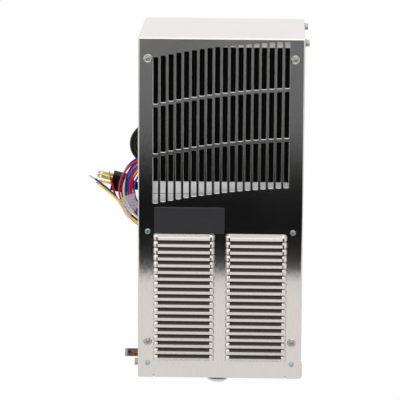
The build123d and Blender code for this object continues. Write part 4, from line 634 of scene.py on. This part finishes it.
# one turn of the hank: a left half circle, the upper run, a right half circle and the lower run, as control
# points in travel order, whose depth grows by one layer
def hankTurn(turnIndex):
    bendAngles = np.radians(powerCord["bendAngles"])
    bend, swell = powerCord["bend"], powerCord["swell"]
    wide, tall = (bend + powerCord["loose"][turnIndex]) * swell, bend * swell
    x0, z0 = powerCord["middle"]
    leftX = x0 - powerCord["halfRun"] + powerCord["leftSlack"][turnIndex]
    rightX = x0 + powerCord["halfRun"]
    left = np.c_[leftX - wide * np.cos(bendAngles), z0 + tall * np.sin(bendAngles)]
    right = np.c_[rightX + wide * np.cos(bendAngles), z0 - tall * np.sin(bendAngles)]
    topRun = [(x0 + shift, z0 + bend) for shift in powerCord["topRun"]]
    bottomRun = [(x0 + shift, z0 - bend) for shift in powerCord["bottomRun"]]
    flat = np.concatenate([left, topRun, right, bottomRun])
    rise = np.linspace(0, 1, len(flat)) ** powerCord["stepPower"]
    layers = turnIndex + rise * (turnIndex < powerCord["turns"] - 1)
    depth = powerCord["firstLayer"] + powerCord["layer"] * layers
    return np.c_[flat[:, 0], depth, flat[:, 1]]


hank = [hankTurn(index) for index in range(powerCord["turns"])]
hank[-1] = hank[-1][:-len(powerCord["bottomRun"])]   # the last turn leaves along the lower run
cordPoints = np.concatenate([powerCord["lead"], *hank, powerCord["tail"]])
cordPiece = cordCurve("powerCord", cordPoints, powerCord["radius"], "cordJacket")
cordLength = lineLength(cordPiece)
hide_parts("power_cord_lead", "cord_hank", "power_cord_tail")
print("stage: power cord", round(cordLength, 3))

# three wires wound clockwise from the bushing, in millimetres and degrees: for each pass of the left side,
# its radii and its depths at the bottom, at the left and at the upper left
harness = {
    "centre": (-108.6, -22.7), "radius": 1.7, "bushing": (-8.0, 2.5),
    "firstAt": -30.0, "step": 20.0,                  # angles of the control points
    "swell": 1.016,                                  # control points lie outside the rounded line by this
    "inner": (42.0, 8.0),                            # radius and depth where the winding starts
    "held": (-100.0, -188.0, -226.0),                # where each pass is held to its radii and depths
    "leave": -70.0,                                  # from here a wire goes over to its last reach
    "pinch": 5.0, "pinchAt": 222.0, "pinchReach": 50.0,
    "blueVinyl": {
        "start": (-66.2, 3.0, -22.0), "stop": 222.0,
        "passes": [
            ((54.0, 59.4, 66.0), (9.2, 8.8, 9.4)), ((52.6, 52.0, 60.6), (6.2, 5.9, 9.4)),
            ((49.2, 48.6, 55.0), (6.4, 7.0, 5.9)), ((39.6, 38.4, 42.0), (6.2, 6.4, 6.4)),
        ],
        "last": [(57.4, 9.9), (60.6, 9.9)],
        "tail": [(-161.5, 9.9, -52.5), (-171.0, 9.9, -37.5), (-187.0, 9.9, -18.7), (-210.4, 9.9, -1.1)],
        "tip": [(-210.4, 9.9, -1.1), (-215.4, 9.7, 1.6), (-220.1, 9.4, 4.7)],
    },
    "yellowVinyl": {
        "start": (-68.0, 3.0, -17.6), "stop": 218.0,
        "passes": [
            ((56.2, 55.6, 57.6), (5.9, 5.9, 12.0)), ((56.8, 57.0, 53.8), (13.4, 13.2, 13.2)),
            ((48.0, 46.4, 48.8), (13.0, 13.0, 5.9)),
        ],
        "last": [(59.8, 6.2), (60.0, 6.4)],
        "tail": [(-163.9, 6.4, -49.8), (-171.6, 6.4, -36.6), (-183.8, 6.4, -25.4), (-204.8, 6.4, -8.5)],
        "tip": [(-204.8, 6.4, -8.5), (-207.2, 6.2, -6.7), (-209.4, 6.0, -5.1)],
    },
    "redVinyl": {
        "start": (-69.8, 3.0, -22.0), "stop": 214.0,
        "passes": [
            ((60.0, 63.4, 63.6), (12.4, 6.6, 5.9)), ((45.8, 45.2, 52.0), (6.0, 5.9, 5.9)),
            ((43.2, 42.4, 47.6), (8.4, 8.0, 8.6)),
        ],
        "last": [(63.4, 13.2), (62.6, 13.4)],
        "tail": [(-168.0, 13.4, -46.0), (-175.2, 13.4, -34.5), (-180.5, 13.4, -22.0), (-185.6, 13.4, 0.0)],
        "tip": [(-185.6, 13.4, 0.0), (-187.0, 13.2, 5.8), (-187.7, 13.0, 11.4)],
    },
}


# the wound part of one wire: a spiral whose radius and depth go in straight lines from key to key, over
# angles that are counted backwards, and whose radius shrinks smoothly where the tape pinches it
def woundPoints(wire):
    keys, radii, depths = [0.0], [harness["inner"][0]], [harness["inner"][1]]
    for index, (passRadii, passDepths) in enumerate(wire["passes"]):
        keys += [angle - 360 * index for angle in harness["held"]]
        radii += passRadii
        depths += passDepths
    wound = -360.0 * len(wire["passes"])
    stop = wound - 360 + wire["stop"]
    keys += [wound + harness["leave"], stop]
    radii += [radius for radius, depth in wire["last"]]
    depths += [depth for radius, depth in wire["last"]]
    angles = np.arange(harness["firstAt"], stop + harness["step"] / 2, -harness["step"])
    order = np.argsort(keys)
    radius = np.interp(angles, np.array(keys)[order], np.array(radii)[order])
    depth = np.interp(angles, np.array(keys)[order], np.array(depths)[order])
    grip = np.clip(1 - np.abs(np.mod(angles, 360) - harness["pinchAt"]) / harness["pinchReach"], 0, 1)
    pinched = radius - harness["pinch"] * np.where(angles > wound, grip * grip * (3 - 2 * grip), 0)
    reach = pinched * harness["swell"]
    x0, z0 = harness["centre"]
    turn = np.radians(angles)
    return np.c_[x0 + reach * np.cos(turn), depth, z0 + reach * np.sin(turn)]


# bare strands at a wire's end, in millimetres: they close in by the taper's share towards the tip
tip = {
    "strands": 5, "strandR": 0.42, "twistR": 0.72, "turns": 0.7, "taper": 0.35, "steps": 14, "sides": 6,
    "across": (0.0, 1.0, 0.0),
}


# a tapered bundle of strands: each is a circle carried along a helix round the tip's line, flat at both ends
def bareTip(name, route, materialName):
    path = np.array(route)
    along = np.linspace(0, 1, tip["steps"])
    axisPoints = np.stack([np.interp(along, [0, 0.5, 1], path[:, k]) for k in range(3)], -1)
    direction = (path[-1] - path[0]) / np.linalg.norm(path[-1] - path[0])
    side = np.cross(direction, tip["across"])
    side /= np.linalg.norm(side)
    other = np.cross(direction, side)
    section = np.linspace(0, 2 * np.pi, tip["sides"], endpoint=False)
    circle = tip["strandR"] * (np.cos(section)[:, None] * side + np.sin(section)[:, None] * other)
    vertices, faces = [], []
    for strand in range(tip["strands"]):
        angle = 2 * np.pi * (strand / tip["strands"] + tip["turns"] * along)
        spread = tip["twistR"] * (1 - tip["taper"] * along)
        outward = np.cos(angle)[:, None] * side + np.sin(angle)[:, None] * other
        centre = axisPoints + spread[:, None] * outward
        tube = centre[:, None, :] + circle[None]
        first = strand * tip["steps"] * tip["sides"]
        index = first + np.arange(tip["steps"] * tip["sides"]).reshape(tip["steps"], tip["sides"])
        nextSide = np.roll(index, -1, 1)
        walls = np.stack([index[:-1], nextSide[:-1], nextSide[1:], index[1:]], -1)
        faces += walls.reshape(-1, 4).tolist()
        faces += [index[0][::-1].tolist(), index[-1].tolist()]
        vertices.append(tube.reshape(-1, 3))
    mesh = bpy.data.meshes.new(name)
    mesh.from_pydata((np.concatenate(vertices) * mm).tolist(), [], faces)
    mesh.shade_smooth()
    return addObject(name, mesh, materialName)


for colour in ("blueVinyl", "yellowVinyl", "redVinyl"):
    wire = harness[colour]
    shortName = colour.replace("Vinyl", "Wire")
    x, y, z = wire["start"]
    way = [(x, y + shift, z) for shift in harness["bushing"]]
    route = np.concatenate([way, woundPoints(wire), wire["tail"]])
    tipPiece = bareTip(shortName + "Tip", wire["tip"], "bareStrand")
    wirePiece = cordCurve(shortName, route, harness["radius"], colour)
    wireLength = lineLength(wirePiece)
    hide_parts("wire_coil", "wire_ends")
    print("stage:", shortName, round(wireLength, 3))

# ends in degrees, slants in degrees for each millimetre inwards, and the rest in millimetres
tape = {
    "from": 191.5, "to": 223.0, "fromSlant": 0.45, "toSlant": 0.25, "inner": 35.0, "outer": 64.2,
    "front": 3.6, "back": 15.6, "rows": 29, "columns": 72, "wall": 0.25, "squareness": 0.42,
    "wrinkle": 0.3, "seed": 7, "waves": 6,
    "wavesAround": (3, 2), "wavesAlong": (5, 7),     # the first wave's count, and how much each next one adds
}


# the tape sleeve: a rounded box section swept round the coil's centre between two slanted ends, with small
# seeded creases across it; below one, the power of sine and cosine squares the section
def tapeSleeve():
    along = np.linspace(0, 1, tape["rows"])[:, None]
    around = np.linspace(0, 2 * np.pi, tape["columns"], endpoint=False)[None, :]
    halfR, halfY = (tape["outer"] - tape["inner"]) / 2, (tape["back"] - tape["front"]) / 2
    power = tape["squareness"]
    radial = np.sign(np.cos(around)) * np.abs(np.cos(around)) ** power * halfR
    depth = np.sign(np.sin(around)) * np.abs(np.sin(around)) ** power * halfY
    phases = np.random.default_rng(tape["seed"]).uniform(0, 2 * np.pi, tape["waves"])
    (around0, moreAround), (along0, moreAlong) = tape["wavesAround"], tape["wavesAlong"]
    crease = sum(
        np.sin(around * (around0 + moreAround * k) + along * (along0 + moreAlong * k) + phases[k]) / (1 + k)
        for k in range(tape["waves"])
    ) * tape["wrinkle"]
    reach = (tape["outer"] + tape["inner"]) / 2 + radial + crease * np.cos(around)
    y = (tape["front"] + tape["back"]) / 2 + depth + crease * np.sin(around)
    inward = tape["outer"] - reach
    start, end = tape["from"] - tape["fromSlant"] * inward, tape["to"] - tape["toSlant"] * inward
    angle = np.radians(start + (end - start) * along)
    x0, z0 = harness["centre"]
    return np.stack([x0 + reach * np.cos(angle), y, z0 + reach * np.sin(angle)], -1) * mm


tapePoints = tapeSleeve()
index = np.arange(tape["rows"] * tape["columns"]).reshape(tape["rows"], tape["columns"])
nextColumn = np.roll(index, -1, 1)                   # the last column joins the first
tapeFaces = np.stack([index[:-1], nextColumn[:-1], nextColumn[1:], index[1:]], -1).reshape(-1, 4)
tapeMesh = bpy.data.meshes.new("tapeSleeve")
tapeMesh.from_pydata(tapePoints.reshape(-1, 3).tolist(), [], tapeFaces.tolist())
tapeMesh.shade_smooth()
tapePiece = addObject("tapeSleeve", tapeMesh, "clearTape")
wall = tapePiece.modifiers.new("wall", "SOLIDIFY")
wall.thickness = tape["wall"] * mm
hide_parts("tape_band")
print("stage: tape", len(tapeMesh.polygons))


# a level rectangle of the set, which isn't part of the object
def stagePlane(name, corners, z, material):
    (x0, y0), (x1, y1) = corners
    mesh = bpy.data.meshes.new(name)
    mesh.from_pydata([(x0, y0, z), (x1, y0, z), (x1, y1, z), (x0, y1, z)], [], [(0, 1, 2, 3)])
    made = bpy.data.objects.new(name, mesh)
    bpy.context.scene.collection.objects.link(made)
    mesh.materials.append(material)
    return made


# one for what the camera sees by itself, in metal or through film, and nought for light on the object
def seenDirectly(tree):
    path = addNode(tree, "ShaderNodeLightPath").outputs
    seen = addNode(
        tree, "ShaderNodeMath", {0: path["Is Camera Ray"], 1: path["Is Glossy Ray"]}, operation="MAXIMUM"
    )
    direct = addNode(
        tree, "ShaderNodeMath", {0: seen.outputs[0], 1: path["Is Transmission Ray"]}, operation="MAXIMUM"
    )
    return direct.outputs[0]


# pale studio paper: camera and metal see it nearly white, and it keeps the object's shadow
def studioPaper():
    made, tree = emptyMaterial("studioPaper")
    paper = addNode(tree, "ShaderNodeBsdfDiffuse", {"Color": hexLinear(studio["floorColour"])})
    glow = addNode(tree, "ShaderNodeEmission", {"Color": hexLinear(studio["worldColour"]), "Strength": 1.0})
    share = addNode(
        tree, "ShaderNodeMath", {0: seenDirectly(tree), 1: studio["floorGlow"]}, operation="MULTIPLY"
    )
    mixed = addNode(
        tree, "ShaderNodeMixShader", {0: share.outputs[0], 1: paper.outputs[0], 2: glow.outputs[0]}
    )
    addNode(tree, "ShaderNodeOutputMaterial", {"Surface": mixed.outputs[0]})
    return made


# black cloth laid in front, paler towards its far edge, that only reflections see
def blackCloth():
    made, tree = emptyMaterial("blackCloth")
    place = addNode(tree, "ShaderNodeTexCoord").outputs["Object"]
    depth = addNode(tree, "ShaderNodeSeparateXYZ", {0: place}).outputs[1]
    near, far = studio["flagRamp"]
    level = addNode(
        tree, "ShaderNodeMapRange", {0: depth, 1: near, 2: far, 3: studio["flagDark"], 4: studio["flagPale"]},
        interpolation_type="SMOOTHSTEP",
    )
    glow = addNode(
        tree, "ShaderNodeEmission", {"Color": hexLinear(studio["flagTint"]), "Strength": level.outputs[0]}
    )
    addNode(tree, "ShaderNodeOutputMaterial", {"Surface": glow.outputs[0]})
    return made


reach = studio["floorReach"]
stagePlane("studioFloor", ((-reach, -reach), (reach, reach)), studio["floorZ"], studioPaper())
flagHalf = studio["flagHalfWidth"]
flag = stagePlane(
    "studioFlag", ((-flagHalf, studio["flagFar"]), (flagHalf, studio["flagNear"])),
    studio["floorZ"] + studio["flagLift"], blackCloth(),
)
flag.visible_camera = False
flag.visible_diffuse = False
flag.visible_shadow = False
flag.visible_transmission = False

world = bpy.data.worlds.new("studioWorld")
bpy.context.scene.world = world
world.use_nodes = True
worldTree = world.node_tree
worldTree.nodes.clear()
strength = addNode(
    worldTree, "ShaderNodeMapRange",
    {0: seenDirectly(worldTree), 1: 0.0, 2: 1.0, 3: studio["worldLight"], 4: studio["worldMirror"]},
)
background = addNode(
    worldTree, "ShaderNodeBackground",
    {"Color": hexLinear(studio["worldColour"]), "Strength": strength.outputs[0]},
)
addNode(worldTree, "ShaderNodeOutputWorld", {"Surface": background.outputs[0]})

for lampName in ("topLight", "frontLight", "sideLight", "rearLight"):
    settings = studio[lampName]
    lampData = bpy.data.lights.new(lampName, "AREA")
    lampData.shape = "RECTANGLE"
    lampData.size, lampData.size_y = settings["size"]
    lampData.energy = settings["power"]
    lamp = bpy.data.objects.new(lampName, lampData)
    bpy.context.scene.collection.objects.link(lamp)
    lamp.location = settings["place"]
    away = np.array(settings["place"]) - np.array(settings["aim"])
    lamp.rotation_mode = "QUATERNION"
    lamp.rotation_quaternion = Vector(away).to_track_quat("Z", "Y")
print("stage: studio")
